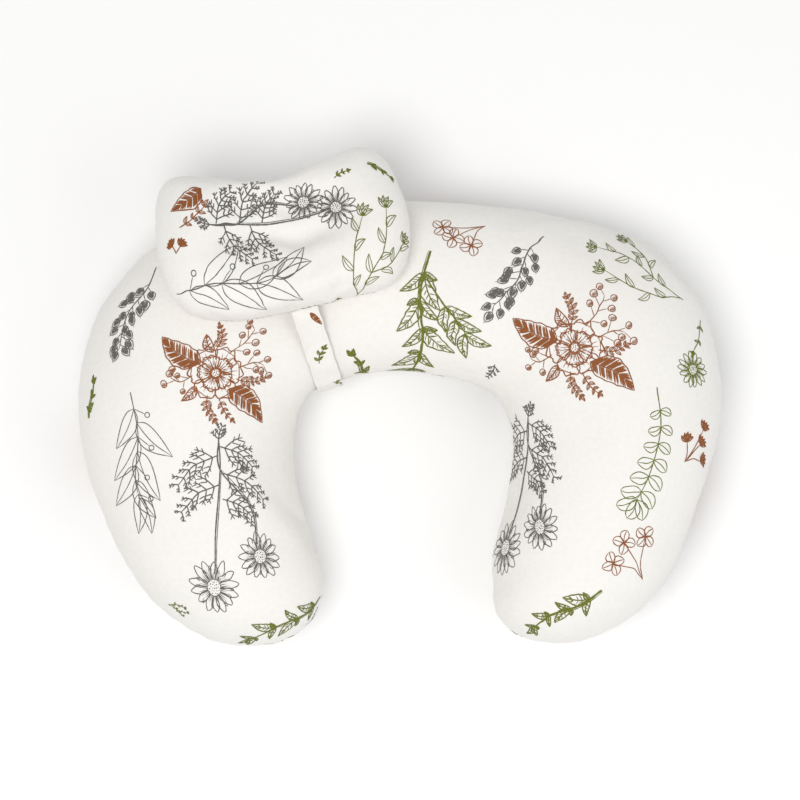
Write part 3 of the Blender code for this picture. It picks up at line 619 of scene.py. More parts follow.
def leaf(pen, base, angle, length, width, veins=0, dark=0.0, line=1.1, bend=0.1, notch=0.0, blunt=False):
    """A pointed leaf: outline, midrib, side veins, and hatching between them as dark as asked."""
    at, half = leaf_shape(base, angle, length, width, bend, blunt)
    steps = 9
    for sign in (1, -1):
        rim = []
        for k in range(steps + 1):
            ruffle = 1 + (notch * (0.5 - (k % 2)) if 0 < k < steps else 0)
            rim.append(at(k / steps, sign * half(k / steps) * ruffle))
        pen.curve(rim, line, (0.6, 0.4))
        for k in range(veins):
            t = (k + 0.8) / (veins + 1)
            reach = min(1.0, t + 0.16)
            knee = at((t + reach) / 2, sign * half(reach) * 0.5)
            pen.curve([at(t, 0), knee, at(reach, sign * half(reach) * 0.86)], line * 0.62)
        rows = max(4, round(length * dark / (1.35 if sign > 0 else 2.3))) if dark else 0
        for k in range(rows):
            t = (k + 0.5 + pen.uniform(-0.2, 0.2)) / rows
            reach = min(1.0, t + 0.1)
            start, stop = pen.uniform(0.06, 0.2), pen.uniform(0.6, 0.95)
            low = at(t + (reach - t) * start, sign * half(t) * start)
            pen.curve([low, at(reach, sign * half(reach) * stop)], line * 0.68, (0.8, 0.3))
    pen.curve([at(t, 0) for t in (0, 0.25, 0.5, 0.75, 1)], line * 0.9, (1, 0.4))


def inked_leaf(pen, base, angle, length, width, veins=6, bend=0.1):
    """A leaf inked almost solid, with its side veins left pale."""
    at, half = leaf_shape(base, angle, length, width, bend)
    leaf(pen, base, angle, length, width, bend=bend, notch=0.1)
    rows = veins * 5
    for sign, full in ((1, 0.95), (-1, 0.72)):
        for k in range(rows):
            if k % 5 == 4:
                continue
            t = 0.03 + 0.86 * k / rows
            reach = min(1.0, t + 0.13)
            side = sign * half(reach) * pen.uniform(0.76, 0.93)
            spots = [at(t, sign * half(t) * 0.06), at((t + reach) / 2, side * 0.52), at(reach, side)]
            pen.curve(spots, length / rows * full, (0.8, 0.45))


def along(points, t):
    """The place and the heading at share t of a smooth line."""
    line = catmull(points, 8)
    at = lengths_along(line)
    ahead = min(1.0, t + 0.04)
    here, front, back = sampled(line, np.array([t, ahead, ahead - 0.06]) * at[-1], at)
    return tuple(here), math.atan2(*(front - back)[::-1])


def stalk(pen, points, width, count, first, last):
    """Draws a stem. Returns even places on it: share of its length, place, heading and side by turns."""
    pen.curve(points, width, BLUNT)
    shares = [first + (last - first) * k / (count - 1) for k in range(count)]
    return [(t, *along(points, t), 1 if k % 2 else -1) for k, t in enumerate(shares)]


def scaled(points, size):
    return [(x * size, y * size) for x, y in points]


def twig(pen, points, pairs, size, width=0.9):
    """A stem with small leaves in pairs and one at its end."""
    for t, spot, heading, _ in stalk(pen, points, width, pairs, 0.2, 0.96):
        long = size * (1 - 0.35 * t) * pen.uniform(0.85, 1.15)
        for sign in (1, -1):
            leaf(pen, spot, heading + sign * 0.8, long, long * 0.45, line=width * 0.85)
    leaf(pen, *along(points, 1.0), size * 0.8, size * 0.36, line=width * 0.85)


def berries(pen, points, count, size, width=0.85):
    """A spray of round berries, each on a short stalk, with a dark side."""
    for t, spot, heading, sign in stalk(pen, points, 0.9, count, 0.18, 1.0):
        reach = size * (1.1 + 0.7 * (1 - t)) * pen.uniform(0.8, 1.2)
        tip = polar(reach, heading + sign * pen.uniform(0.6, 1.1), spot)
        pen.curve([spot, tip], width * 0.8)
        radius = size / 2 * pen.uniform(0.85, 1.15)
        x, y = polar(radius, math.atan2(tip[1] - spot[1], tip[0] - spot[0]), tip)
        pen.ring((x, y), radius, 8, width)
        for j in range(5):
            offset = radius * (-0.42 + 0.27 * j)
            chord = radius * math.sqrt(max(0.05, 1 - (offset / radius) ** 2)) * 0.9
            pen.curve([(x + offset, y - chord), (x + offset, y + chord * (0.2 + 0.13 * j))], width * 0.85)


def bud_spray(pen, length):
    """A drooping spray of pointed oval buds, hatched."""
    line = scaled([(0, 0), (0.3, 0.05), (0.65, -0.02), (1, 0.04)], length)
    for t, spot, heading, sign in stalk(pen, line, 1.2, 19, 0.22, 1.0):
        lean = heading + sign * pen.uniform(0.5, 1.25)
        tip = polar(pen.uniform(5, 12) * (1.15 - 0.5 * t), lean, spot)
        pen.curve([spot, tip], 0.8)
        bud(pen, tip, lean - sign * 0.35, pen.uniform(8.5, 11.5))


def bud(pen, base, angle, size):
    def line(points, width, ends=FADING, closed=False):
        pen.curve([turned(x, y, angle, base) for x, y in points], width, ends, closed)

    wide = size * 0.36
    low, high = size * 0.3, size * 0.7
    rim = [(0, 0), (low, wide), (high, wide * 0.8), (size, 0), (high, -wide * 0.8), (low, -wide)]
    line(rim, 0.95, FULL, closed=True)
    for j in range(6):
        y = wide * (-0.78 + 0.27 * j)
        stop = size * (0.88 - 0.3 * abs(y) / wide)
        line([(size * 0.12, y), (stop, y * 0.7)], 0.85, BLUNT)
    line([(size, 0), (size * 1.18, 0.4)], 0.6)


def daisy(pen, centre, radius, petals=14, squash=1.0, lean=0.0):
    """A daisy: long pointed petals with fine lines, and a dotted centre."""
    core, wide = radius * 0.3, radius * 0.15

    def place(x, y, turn):
        u, v = turned(x, y, turn)
        return turned(u, v * squash, lean, centre)

    def petal_line(points, width, ends=FADING, closed=False):
        pen.curve([place(x, y * wide, turn) for x, y in points], width, ends, closed)

    for layer in (0, 1):
        for k in range(petals):
            turn = 2 * math.pi * (k + 0.5 * layer) / petals + pen.uniform(-0.07, 0.07)
            long = radius * (0.8 if layer else 1.0) * pen.uniform(0.9, 1.06)
            if layer:
                petal_line([(long * 0.72, 0.4), (long, 0), (long * 0.72, -0.4)], 0.65)
                continue
            side = [(core, -0.4), (long * 0.62, -1), (long * 0.86, -0.66)]
            petal_line(side + [(long, 0)] + [(x, -y) for x, y in side[::-1]], 0.85, FULL)
            for y in (-0.5, 0.0, 0.5):
                petal_line([(core * 1.05, y * 0.7), (long * pen.uniform(0.5, 0.8), y)], 0.7, THICK_START)
    pen.curve([place(core, 0, 2 * math.pi * j / 10) for j in range(10)], 0.8, FULL, closed=True)
    dots = 26
    for k in range(dots):
        far = core * 0.9 * math.sqrt((k + 0.5) / dots)
        pen.dot(place(far, 0, k * 2.4), 0.5 if k % 3 else 0.7)


def feather_twig(pen, points, barbs, size):
    """A feathery twig: forked barbs on both sides of a stem."""
    for t, spot, heading, _ in stalk(pen, points, 1.1, barbs, 0.12, 0.98):
        for sign in (1, -1):
            long = size * (1.1 - 0.65 * t) * pen.uniform(0.8, 1.15)
            turn = heading + sign * pen.uniform(0.6, 0.95)
            knee = turned(long * 0.55, sign * long * 0.08, turn, spot)
            pen.curve([spot, knee, polar(long, turn, spot)], 1.05, (1, 0.7))
            for step in (0.45, 0.75):
                root = polar(long * step, turn, spot)
                for side in (1, -1):
                    short = long * 0.34 * pen.uniform(0.7, 1.1)
                    pen.curve([root, polar(short, turn + side * 0.75, root)], 1.0, (1, 0.7))


def daisy_pair(pen, reach, first=(1.0, -0.08, 26, 0.0), second=(0.8, 0.25, 22, 0.0)):
    """Two daisies on long curved stems that part from one feathery stalk."""
    fork = (reach * 0.2, 0)
    for x, y, radius, arch in (first, second):
        end = (reach * x, reach * y)
        stop = (end[0] - radius * 0.5, end[1] - (y * radius * 0.5))
        middle = (reach * x * 0.58, reach * (y * 0.75 + arch))
        pen.curve([(0, 0), fork, (middle[0], middle[1] + 2), stop], 1.25, FULL)
        pen.curve([(fork[0], 1.3), (middle[0], middle[1] + 3.6), (stop[0], stop[1] + 1.2)], 0.7)
        daisy(pen, end, radius, lean=pen.uniform(-0.5, 0.5), squash=pen.uniform(0.82, 0.95))
    for sign, step, size in ((1, 0.04, 0.8), (-1, 0.1, 1.0), (1, 0.22, 1.05), (-1, 0.3, 0.95), (1, 0.4, 0.7)):
        long = reach * 0.34 * size
        shape = ((0, 0), (0.2, 0.5), (0.55, 0.85))
        line = [(reach * step + x * long, sign * (1.0 + y * long)) for x, y in shape]
        feather_twig(pen, line, 6, reach * 0.13)
    feather_twig(pen, [(0, 0), (-reach * 0.05, 1), (-reach * 0.1, 4)], 4, reach * 0.07)


def line_branch(pen, length, leaves=8, plump=0.27):
    """A stem with long leaves drawn in outline, and small round buds between them."""
    line = scaled([(0, 0), (0.35, 0.04), (0.7, -0.02), (0.86, 0)], length)
    for t, spot, heading, sign in stalk(pen, line, 0.95, leaves, 0.16, 0.96):
        long = length * pen.uniform(0.36, 0.44) * (1.1 - 0.5 * abs(t - 0.45))
        leaf(pen, spot, heading + sign * (0.78 - 0.4 * t), long, long * plump, line=0.85, bend=-sign * 0.07)
        if sign < 0:
            lean = heading + 0.9
            tip = polar(long * 0.3, lean, spot)
            pen.curve([spot, tip], 0.7)
            pen.ring(polar(2.4, lean, tip), 2.4, 7, 0.85)
    leaf(pen, *along(line, 1.0), length * 0.3, length * 0.3 * plump, line=0.85)


def bouquet(pen, r, spread=1.0):
    """An open ruffled flower of radius r between two dark leaves, berry sprays and small twigs."""
    inked_leaf(pen, (-r * 0.55, r * 0.35), 2.5, r * 1.75 * spread, r)
    inked_leaf(pen, (r * 0.45, -r * 0.6), -0.72, r * 1.8 * spread, r)
    leaf(pen, (-r * 0.1, r * 0.75), 1.95, r * 0.8, r * 0.42, 4, 0.7)
    leaf(pen, (-r * 0.7, -r * 0.5), 3.85, r * 0.75, r * 0.36, 4, 0.6)
    for draw, count, size, points in (
        (berries, 6, 0.24, ((0.5, 0.7), (1.0, 1.1), (1.35, 1.65))),
        (berries, 5, 0.24, ((0.85, 0.2), (1.35, 0.35), (1.8, 0.25))),
        (berries, 5, 0.22, ((-0.85, -0.1), (-1.3, -0.3), (-1.6, -0.15))),
        (twig, 5, 0.3, ((0, 0.8), (0.18, 1.3), (0.1, 1.75))),
        (twig, 5, 0.3, ((0.8, -0.2), (1.3, -0.35), (1.75, -0.25))),
        (twig, 5, 0.3, ((-0.3, -0.8), (-0.35, -1.25), (-0.1, -1.7))),
        (twig, 4, 0.26, ((0.1, -0.9), (0.3, -1.4), (0.55, -1.7))),
    ):
        draw(pen, scaled(points, r), count, r * size)
    ruffled_flower(pen, r)


def ruffled_flower(pen, r):
    for layer, (count, inner, outer) in enumerate(((6, 0.5, 1.0), (5, 0.26, 0.66))):
        wide = math.pi / count * 1.12
        for k in range(count):
            turn = 2 * math.pi * (k + 0.5 * layer) / count + pen.uniform(-0.12, 0.12)
            rim = [polar(r * inner, turn - wide * 0.95)]
            for j in range(9):
                s = -1 + j / 4
                ruffle = 1 + 0.07 * math.sin(j * 2.4 + k) + pen.uniform(-0.025, 0.025)
                rim.append(polar(r * (outer - 0.2 * outer * s * s) * ruffle, turn + s * wide))
            rim.append(polar(r * inner, turn + wide * 0.95))
            pen.curve(rim, 1.15, (0.8, 0.8))
            fold = [(0.9 + 0.03 * math.sin(j * 3), -0.7 + 0.35 * j) for j in range(5)]
            pen.curve([polar(r * outer * far, turn + s * wide) for far, s in fold], 0.75)
            for j in range(5):
                s = -0.75 + 0.375 * j
                low = polar(r * (inner + 0.04 * (j % 2)), turn + s * wide * 0.75)
                high = r * (outer - 0.2 * s * s * outer) * pen.uniform(0.68, 0.88)
                pen.curve([low, polar(high, turn + s * wide)], 0.68, (1.1, 0.3))
    core = r * 0.2
    pen.ring((0.0, 0.0), core, 10, 1.0)
    dots, rays = 34, 30
    for k in range(dots):
        pen.dot(polar(core * 1.25 * math.sqrt((k + 0.5) / dots), k * 2.4), 0.62)
    for k in range(rays):
        turn = 2 * math.pi * k / rays + pen.uniform(-0.06, 0.06)
        reach = r * pen.uniform(0.36, 0.6)
        spots = ((core * 0.7, 0.0), ((core + reach) / 2, 0.03), (reach, 0.05))
        pen.curve([polar(far, turn + bend) for far, bend in spots], 0.95, THICK_START)


def bold_sprig(pen, length, sides=5, side_twig=True):
    """A thick stem with broad outlined leaves on alternate sides, small dark buds, and a side twig."""
    line = scaled([(0, 0), (0.3, 0.03), (0.65, -0.03), (1, 0.02)], length)
    places = stalk(pen, line, 2.1, sides, 0.16, 0.94)
    pen.curve([(x, y + 1.9) for x, y in line[:3]], 0.9)
    for t, spot, heading, side in places:
        long = length * 0.3 * pen.uniform(0.85, 1.1) * (1.1 - 0.3 * t)
        leaf(pen, spot, heading + side * pen.uniform(0.5, 0.75), long, long * 0.42, 2, 0.3, 1.3,
             bend=-side * 0.08, notch=0.12)
        leaf(pen, spot, heading - side * pen.uniform(0.6, 0.9), long * 0.72, long * 0.26, 2, 0.35, 1.25,
             bend=side * 0.1)
        leaf(pen, spot, heading + side * 1.3, long * 0.36, long * 0.2, 0, 1.0, 1.2)
    spot, heading = along(line, 1.0)
    leaf(pen, spot, heading + 0.1, length * 0.2, length * 0.08, 2, 0.5, 1.2)
    if side_twig:
        line = scaled([(0.2, 0), (0.4, -0.17), (0.56, -0.3)], length)
        long = length * 0.19
        for _, spot, heading, _ in stalk(pen, line, 1.6, 3, 0.5, 1.0):
            for side in (1, -1):
                leaf(pen, spot, heading + side * 0.6, long, long * 0.4, 2, 0.4, 1.2, notch=0.1)


def fine_sprig(pen, length):
    """Thin stems from one root, with oval leaves and cup-shaped flowers, all in outline."""
    for shape, leaves in (
        (((0, 0), (0.3, 0.04), (0.65, 0.0), (0.97, 0.1)), 5),
        (((0.03, 0), (0.22, 0.17), (0.5, 0.27), (0.8, 0.29)), 4),
        (((0.36, 0.04), (0.52, -0.12), (0.76, -0.2)), 3),
    ):
        line = scaled(shape, length)
        for _, spot, heading, side in stalk(pen, line, 0.9, leaves, 0.22, 0.82):
            long = length * 0.15 * pen.uniform(0.85, 1.15)
            leaf(pen, spot, heading + side * 0.7, long, long * 0.42, line=0.75)
        tip, heading = along(line, 1.0)
        for lean in (-0.75, -0.25, 0.25, 0.75):
            leaf(pen, tip, heading + lean, length * 0.12, length * 0.05, line=0.75)


def round_fern(pen, length, pairs=6):
    """A curved stem with pairs of round leaves that grow towards its end, and three at the end."""
    line = scaled([(0, 0), (0.3, 0.07), (0.65, 0.03), (0.88, -0.05)], length)
    for k, (_, spot, heading, _) in enumerate(stalk(pen, line, 0.95, pairs, 0.2, 0.92)):
        size = length * (0.058 + 0.008 * k)
        for sign in (1, -1):
            leaf(pen, spot, heading + sign * 1.1, size * 1.7, size * 1.05, line=0.85, blunt=True)
    spot, heading = along(line, 1.0)
    for turn in (-0.8, 0.0, 0.8):
        leaf(pen, spot, heading + turn, length * 0.17, length * 0.105, line=0.85, blunt=True)


def clovers(pen, size, heads):
    """Small four-petalled flowers in outline, on thin curved stems from one root."""
    for x, y in heads:
        pen.curve([(0, 0), (x * 0.45, y * 0.2), (x * 0.8, y * 0.7), (x, y)], 0.85)
        for k in range(4):
            turn = math.atan2(y, x) + math.pi / 4 + k * math.pi / 2
            leaf(pen, (x, y), turn, size, size * 0.78, line=0.85, blunt=True)


def cups(pen, size, heads):
    """Small cup-shaped blossoms with hatched petals, on one branching stem."""
    for x, y in heads:
        pen.curve([(0, 0), (x * 0.5, y * 0.3), (x, y)], 1.0)
        for step in (-0.9, -0.45, 0.0, 0.45, 0.9):
            leaf(pen, (x, y), math.atan2(y, x) + step, size, size * 0.42, dark=0.9, line=0.95)
        pen.dot((x, y), 1.3, 6)


def ink_pieces(shapes, cut, outline, lift, name, body):
    """Lays the strokes of each ink on a panel, trimmed at its seam, as one piece an ink."""
    for ink, strokes in shapes.items():
        if not strokes:
            continue
        parts = []
        within = inside(outline, np.concatenate([flat for flat, _ in strokes]))
        within = np.split(within, np.cumsum([len(flat) for flat, _ in strokes])[:-1])
        for number, ((flat, faces), kept) in enumerate(zip(strokes, within)):
            faces = [f for f in faces if kept[list(f)].all()]
            if faces:
                height = (lift + LIFT_STEP * (number % LIFT_LEVELS)) * MM
                points = np.array([cut.at(x * MM, y * MM, height) for x, y in flat])
                parts.append(outward(points, faces, cut.facing(*flat[faces[0][0]])))
        if parts:
            points, faces = joined(parts)
            mesh_piece(f"{name}_{ink}", points, faces, INKS[ink], body, "printed_cotton")


def outward(points, faces, direction):
    """The strip with its faces turned to the cloth's outer side, and its unused points dropped."""
    a, b, c = (points[k] for k in faces[0][:3])
    if np.cross(b - a, c - a) @ direction < 0:
        faces = [f[::-1] for f in faces]
    used, faces = used_only(faces)
    return points[used], faces


# ---- materials -------------------------------------------------------------------------------------
def linear(*rgb):
    return tuple(((c / 255) / 12.92 if c <= 10 else ((c / 255 + 0.055) / 1.055) ** 2.4) for c in rgb) + (1.0,)


def shader(name, roughness, metallic=0.0, sheen=0.0):
    made = bpy.data.materials.new(name)
    made.use_nodes = True
    principled = made.node_tree.nodes["Principled BSDF"]
    principled.inputs["Roughness"].default_value = roughness
    principled.inputs["Metallic"].default_value = metallic
    principled.inputs["Sheen Weight"].default_value = sheen
    return made, made.node_tree, principled


def add(tree, kind, settings=None, **inputs):
    """Adds a shader node. Each input, named with _ for a space, takes a value or another node's socket."""
    node = tree.nodes.new("ShaderNode" + kind)
    for name, value in (settings or {}).items():
        setattr(node, name, value)
    for name, value in inputs.items():
        put(tree, node, name.replace("_", " "), value)
    return node


def put(tree, node, socket, value):
    if isinstance(value, bpy.types.NodeSocket):
        tree.links.new(value, node.inputs[socket])
    else:
        node.inputs[socket].default_value = value


def calculated(tree, operation, a, b):
    node = add(tree, "Math", {"operation": operation})
    put(tree, node, 0, a)
    put(tree, node, 1, b)
    return node.outputs[0]


def mixed_colour(tree, share, low, high):
    node = add(tree, "Mix", {"data_type": "RGBA"}, Factor=share)
    for socket, colour in zip([s for s in node.inputs if s.type == "RGBA"], (low, high)):
        socket.default_value = colour
    return next(s for s in node.outputs if s.type == "RGBA")


def spread_out(tree, value, low, high):
    """The value's 0..1 carried over to low..high."""
    return add(tree, "MapRange", Value=value, To_Min=low, To_Max=high).outputs[0]


def weave(tree, threads, coords):
    """Height of a plain weave: two crossed sets of threads, made a little uneven."""
    uneven = add(tree, "TexNoise", Vector=coords, Scale=threads / 9, Detail=2.0)
    warp, weft = (
        add(tree, "TexWave", {"bands_direction": axis}, Vector=coords, Scale=threads, Distortion=0.6)
        for axis in "XY"
    )
    crossed = calculated(tree, "MAXIMUM", warp.outputs["Fac"], weft.outputs["Fac"])
    return calculated(tree, "MULTIPLY", crossed, uneven.outputs["Fac"])


def cloth_material(name, colour, shade, threads, roughness=0.85, sheen=0.15, uv="cut", wrinkles=0.25,
                   relief=THREAD_RELIEF):
    """Woven cloth: threads, faint slubs and soft creases, with a slight variation of its colour."""
    made, tree, principled = shader(name, roughness, sheen=sheen)
    place = add(tree, "TexCoord").outputs["Object"]
    coords = add(tree, "UVMap", {"uv_map": uv}).outputs["UV"] if uv else place
    height = weave(tree, threads, coords)
    broad = add(tree, "TexNoise", Vector=place, Scale=7.0, Detail=3.0).outputs["Fac"]
    slub = add(tree, "TexNoise", Vector=coords, Scale=threads * 0.6, Detail=3.0).outputs["Fac"]
    both = calculated(tree, "ADD", broad, slub)
    share = add(tree, "MapRange", Value=both, From_Min=0.6, From_Max=1.4).outputs[0]
    put(tree, principled, "Base Color", mixed_colour(tree, share, linear(*shade), linear(*colour)))
    crease = add(tree, "TexNoise", Vector=place, Scale=26.0, Detail=4.0, Roughness=0.55, Distortion=0.7)
    soft = add(tree, "Bump", Height=crease.outputs["Fac"], Strength=wrinkles, Distance=0.004).outputs[0]
    fine = add(tree, "Bump", Height=height, Normal=soft, Strength=0.6, Distance=relief).outputs[0]
    put(tree, principled, "Normal", fine)
    put(tree, principled, "Roughness", spread_out(tree, height, roughness - 0.06, min(1.0, roughness + 0.08)))
    return made


def ink_material(name, colour):
    """Ink printed into cloth: the threads' relief shows through, and the ink's gloss is a little patchy."""
    made, tree, principled = shader(name, 0.8)
    principled.inputs["Base Color"].default_value = colour
    height = weave(tree, COVER_THREADS, add(tree, "TexCoord").outputs["Object"])
    fine = add(tree, "Bump", Height=height, Strength=0.6, Distance=THREAD_RELIEF).outputs[0]
    put(tree, principled, "Normal", fine)
    put(tree, principled, "Roughness", spread_out(tree, height, 0.72, 0.92))
    return made


def hard_material(name, colour, roughness, metallic):
    """Painted metal or moulded plastic, with a fine uneven surface."""
    made, tree, principled = shader(name, roughness, metallic)
    place = add(tree, "TexCoord").outputs["Object"]
    grain = add(tree, "TexNoise", Vector=place, Scale=900.0, Detail=3.0).outputs["Fac"]
    darker = tuple(c * 0.88 for c in colour[:3]) + (1.0,)
    put(tree, principled, "Base Color", mixed_colour(tree, grain, darker, colour))
    put(tree, principled, "Roughness", spread_out(tree, grain, roughness - 0.08, roughness + 0.1))
    fine = add(tree, "Bump", Height=grain, Strength=0.5, Distance=0.00004).outputs[0]
    put(tree, principled, "Normal", fine)
    return made


COTTON = cloth_material("printed_cotton", (243, 241, 237), (236, 233, 228), COVER_THREADS)
CASING = cloth_material("inner_casing", (240, 240, 238), (228, 228, 226), 240.0)
FIBRE = cloth_material("fibre_filling", (244, 244, 244), (226, 226, 226), 60.0, sheen=0.4, wrinkles=0.8)
TAPE = cloth_material("zip_tape", (240, 238, 234), (228, 226, 221), 420.0, uv=None)
HOOKS = cloth_material("hook_and_loop", (238, 236, 232), (214, 212, 207), 260.0, roughness=0.9, sheen=0.5,
                       uv=None, relief=0.0006)
THREAD = cloth_material("thread", (246, 244, 240), (226, 223, 217), 900.0, uv=None)
LABEL = cloth_material("label", (248, 248, 246), (238, 238, 236), 500.0, roughness=0.6, uv=None)
COIL = hard_material("zip_coil", linear(240, 238, 233), 0.38, 0.0)
METAL = hard_material("zip_metal", linear(226, 225, 221), 0.36, 0.35)
INK_COLOURS = {"rust": (140, 79, 33), "grey": (97, 94, 89), "green": (103, 111, 22)}
INKS = {ink: ink_material(f"ink_{ink}", linear(*colour)) for ink, colour in INK_COLOURS.items()}


# ---- the main pillow's cover -----------------------------------------------------------------------
def main_cover():
    """The main pillow, with its swollen cover's points. The cover stays as the CAD has it under the zip,
    and wherever the strap and the head pillow rest or slip to."""
    pillow = main_pillow_shape()
    plan = pillow.points[:, :2]
    beside, behind = (plan - STRAP_FOOT) @ STRAP_SIDE, (plan - STRAP_FOOT) @ STRAP_BACK
    on_band = np.where((behind > STRAP_FROM) & (behind < STRAP_TO), 1.0, 0.0)
    swept = np.abs(beside - np.clip(beside, 0.0, TRAVEL @ STRAP_SIDE))
    by_strap = on_band * (1 - smoothstep(swept, *STRAP_REACH))
    under_head = np.zeros(len(plan))
    for share in TRAVEL_SHARES:
        rim = HEAD_PLAN + share * TRAVEL
        near = 1 - smoothstep(distance_to(rim, plan), *HEAD_REACH)
        under_head = np.maximum(under_head, np.where(inside(rim, plan), 1.0, near))
    under_head *= smoothstep(pillow.points[:, 2], SEAM_Z + 8, SEAM_Z + 30)
    zip_gap = np.hypot(
        np.maximum(np.abs(plan[:, 0] - (ZIP_FROM + ZIP_TO) / 2) - (ZIP_TO - ZIP_FROM) / 2, 0),
        ARC_TOP - plan[:, 1],
    )
    by_zip = 1 - smoothstep(zip_gap, *ZIP_REACH)
    keep = 1 - np.maximum(np.maximum(by_strap, under_head), by_zip * 0.8)
    covered = swollen(pillow, "main_cover_cloth", keep, growth=0.022, cap=8.0)
    normals = vertex_normals(covered, pillow.faces)
    pinch = on_band * (0.6 * bell(beside, 15) + 1.3 * (1 - smoothstep(swept, 13, 30)))
    covered = covered - normals * pinch[:, None]
    limit = 1 - np.maximum(by_zip, 0.7 * by_strap)
    covered = seam_gather(pillow, covered, normals, limit, depth=1.0, tuck=1.8, reach=15.0, seed=5)
    covered[:, 2] = np.maximum(covered[:, 2], 0.0)
    return pillow, covered


def open_zip(pillow, points, side):
    """Parts the two panels along the zip, so that its coils show between them."""
    ease = smoothstep(points[:, 0], ZIP_FROM, ZIP_FROM + ZIP_EASE)
    ease = ease * (1 - smoothstep(points[:, 0], ZIP_TO - ZIP_EASE, ZIP_TO))
    slot = ease * ZIP_SLOT * np.exp(-np.abs(points[:, 2] - SEAM_Z) / 12)
    result = points.copy()
    result[:, 2] += side * np.where((points[:, 1] > ZIP_BEHIND) & (pillow.row_of < 4), slot, 0.0)
    return result


# ---- the head pillow's cover -----------------------------------------------------------------------
def head_cover(main_points, main_faces):
    """The head pillow, with its swollen cover's points, which clear the main cover all along its travel."""
    pillow = head_pillow_shape()
    x, y, z = pillow.points.T
    pillow.points = head_place(pillow.points)
    dished = np.exp(-((x / FOLDS_HALF_LENGTH) ** 2 + (y / FOLDS_HALF_WIDTH) ** 2) ** 1.4)
    is_top = z > 0.01
    keep = np.where(is_top, 1 - 0.5 * dished, 0.25)
    keep[: pillow.seam_count] = 0
    hold = np.where(is_top, dished * 0.8, 0.6)
    covered = swollen(pillow, "head_cover_cloth", keep, growth=0.02, cap=5.0, hold=hold)
    normals = vertex_normals(covered, pillow.faces)
    # Soft folds across the dish, and creases from the strap's end.
    fold = 2.3 * dished * np.sin(y / 4.6 + 0.9 * np.sin(x / 17.0) + 0.4 * np.sin(x / 7.0))
    for turn, amount in ((-0.35, 0.9), (0.05, 1.1), (0.4, 0.8)):
        line = (x - 41) + turn * (y + 66)
        fold -= amount * bell(line, 2.6) * smoothstep(-y, -30, 60) * (1 - smoothstep(-y, 66, 74))
    covered += normals * (fold * is_top)[:, None]
    limit = np.ones(len(covered))
    covered = seam_gather(pillow, covered, normals, limit, depth=0.55, tuck=0.8, reach=9.0, seed=9)
    tree = BVHTree.FromPolygons([tuple(p) for p in main_points], main_faces)
    for k, p in enumerate(covered):
        if is_top[k] and k >= pillow.seam_count:
            continue
        for share in TRAVEL_SHARES:
            below = tree.ray_cast(Vector((*(p[:2] + share * TRAVEL), 400.0)), Vector((0, 0, -1)))[0]
            if below is not None:
                p[2] = max(p[2], below.z + HEAD_CLEARANCE)
    return pillow, covered


def centre_line(node, direction, gap=0.8):
    """The middle line of a long thin CAD node: the average of each of its rings, along the direction."""
    points = mesh_numbers(NODES[node].data.vertices, "co", 3) / MM
    depth = points @ np.array(direction)
    order = np.argsort(depth)
    rings = np.split(order, np.flatnonzero(np.diff(depth[order]) > gap) + 1)
    return np.array([points[ring].mean(0) for ring in rings])


def edit_mesh(obj, change):
    mesh = bmesh.new()
    mesh.from_mesh(obj.data)
    change(mesh)
    mesh.to_mesh(obj.data)
    mesh.free()


def slit(obj, middle, along_axis, across_axis, half_length, half_width):
    """Cuts a long narrow opening in a panel, for its zip."""
    def cut(mesh):
        for axis, size in ((across_axis, half_width), (along_axis, half_length)):
            for sign in (1, -1):
                spot = (middle + sign * size * axis) * MM
                bmesh.ops.bisect_plane(mesh, geom=mesh.verts[:] + mesh.edges[:] + mesh.faces[:], dist=1e-6,
                                       plane_co=Vector(spot), plane_no=Vector(sign * axis))
        gone = []
        for face in mesh.faces:
            offset = np.array(face.calc_center_median()) / MM - middle
            if abs(offset @ along_axis) < half_length and abs(offset @ across_axis) < half_width:
                gone.append(face)
        bmesh.ops.delete(mesh, geom=gone, context="FACES")

    edit_mesh(obj, cut)


def cover_panels(prefix, tops, unders, pillow):
    """The pillow's two outer panels, from the points of each."""
    sides = (("top", tops, pillow.faces_top), ("bottom", unders, pillow.faces_under))
    return [panel_mesh(f"{prefix}_cover_{side}_cloth", points, faces, pillow.flat, subdivide=True)
            for side, points, faces in sides]


def finish_cover(panels, prefix):
    for panel, side in zip(panels, ("top", "bottom")):
        finish_piece(panel, COTTON, f"{prefix}_pillow", "printed_cotton", f"{prefix}_cover_{side}")


main, main_points = main_cover()
parted = [open_zip(main, main_points, side) for side in (1, -1)]
main_top, main_under = cover_panels("main", *parted, main)
finish_cover((main_top, main_under), "main")

head, head_points = head_cover(main_points, main.faces_top)
head_top, head_under = cover_panels("head", head_points, head_points, head)
HEAD_ALONG = np.array(HEAD_TURN @ Vector((1, 0, 0)))
SLOPE = HEAD_ZIP_Y / HEAD_BEND_RADIUS
HEAD_ACROSS = np.array(HEAD_TURN @ Vector((0, math.cos(SLOPE), -math.sin(SLOPE))))
head_coils = [centre_line(f"head_zip_coil_{side}", HEAD_ALONG) for side in ("back", "front")]
slit(head_under, (head_coils[0].mean(0) + head_coils[1].mean(0)) / 2, HEAD_ALONG, HEAD_ACROSS,
     HEAD_SLIT_HALF_LENGTH, HEAD_SLIT_HALF_WIDTH)
finish_cover((head_top, head_under), "head")

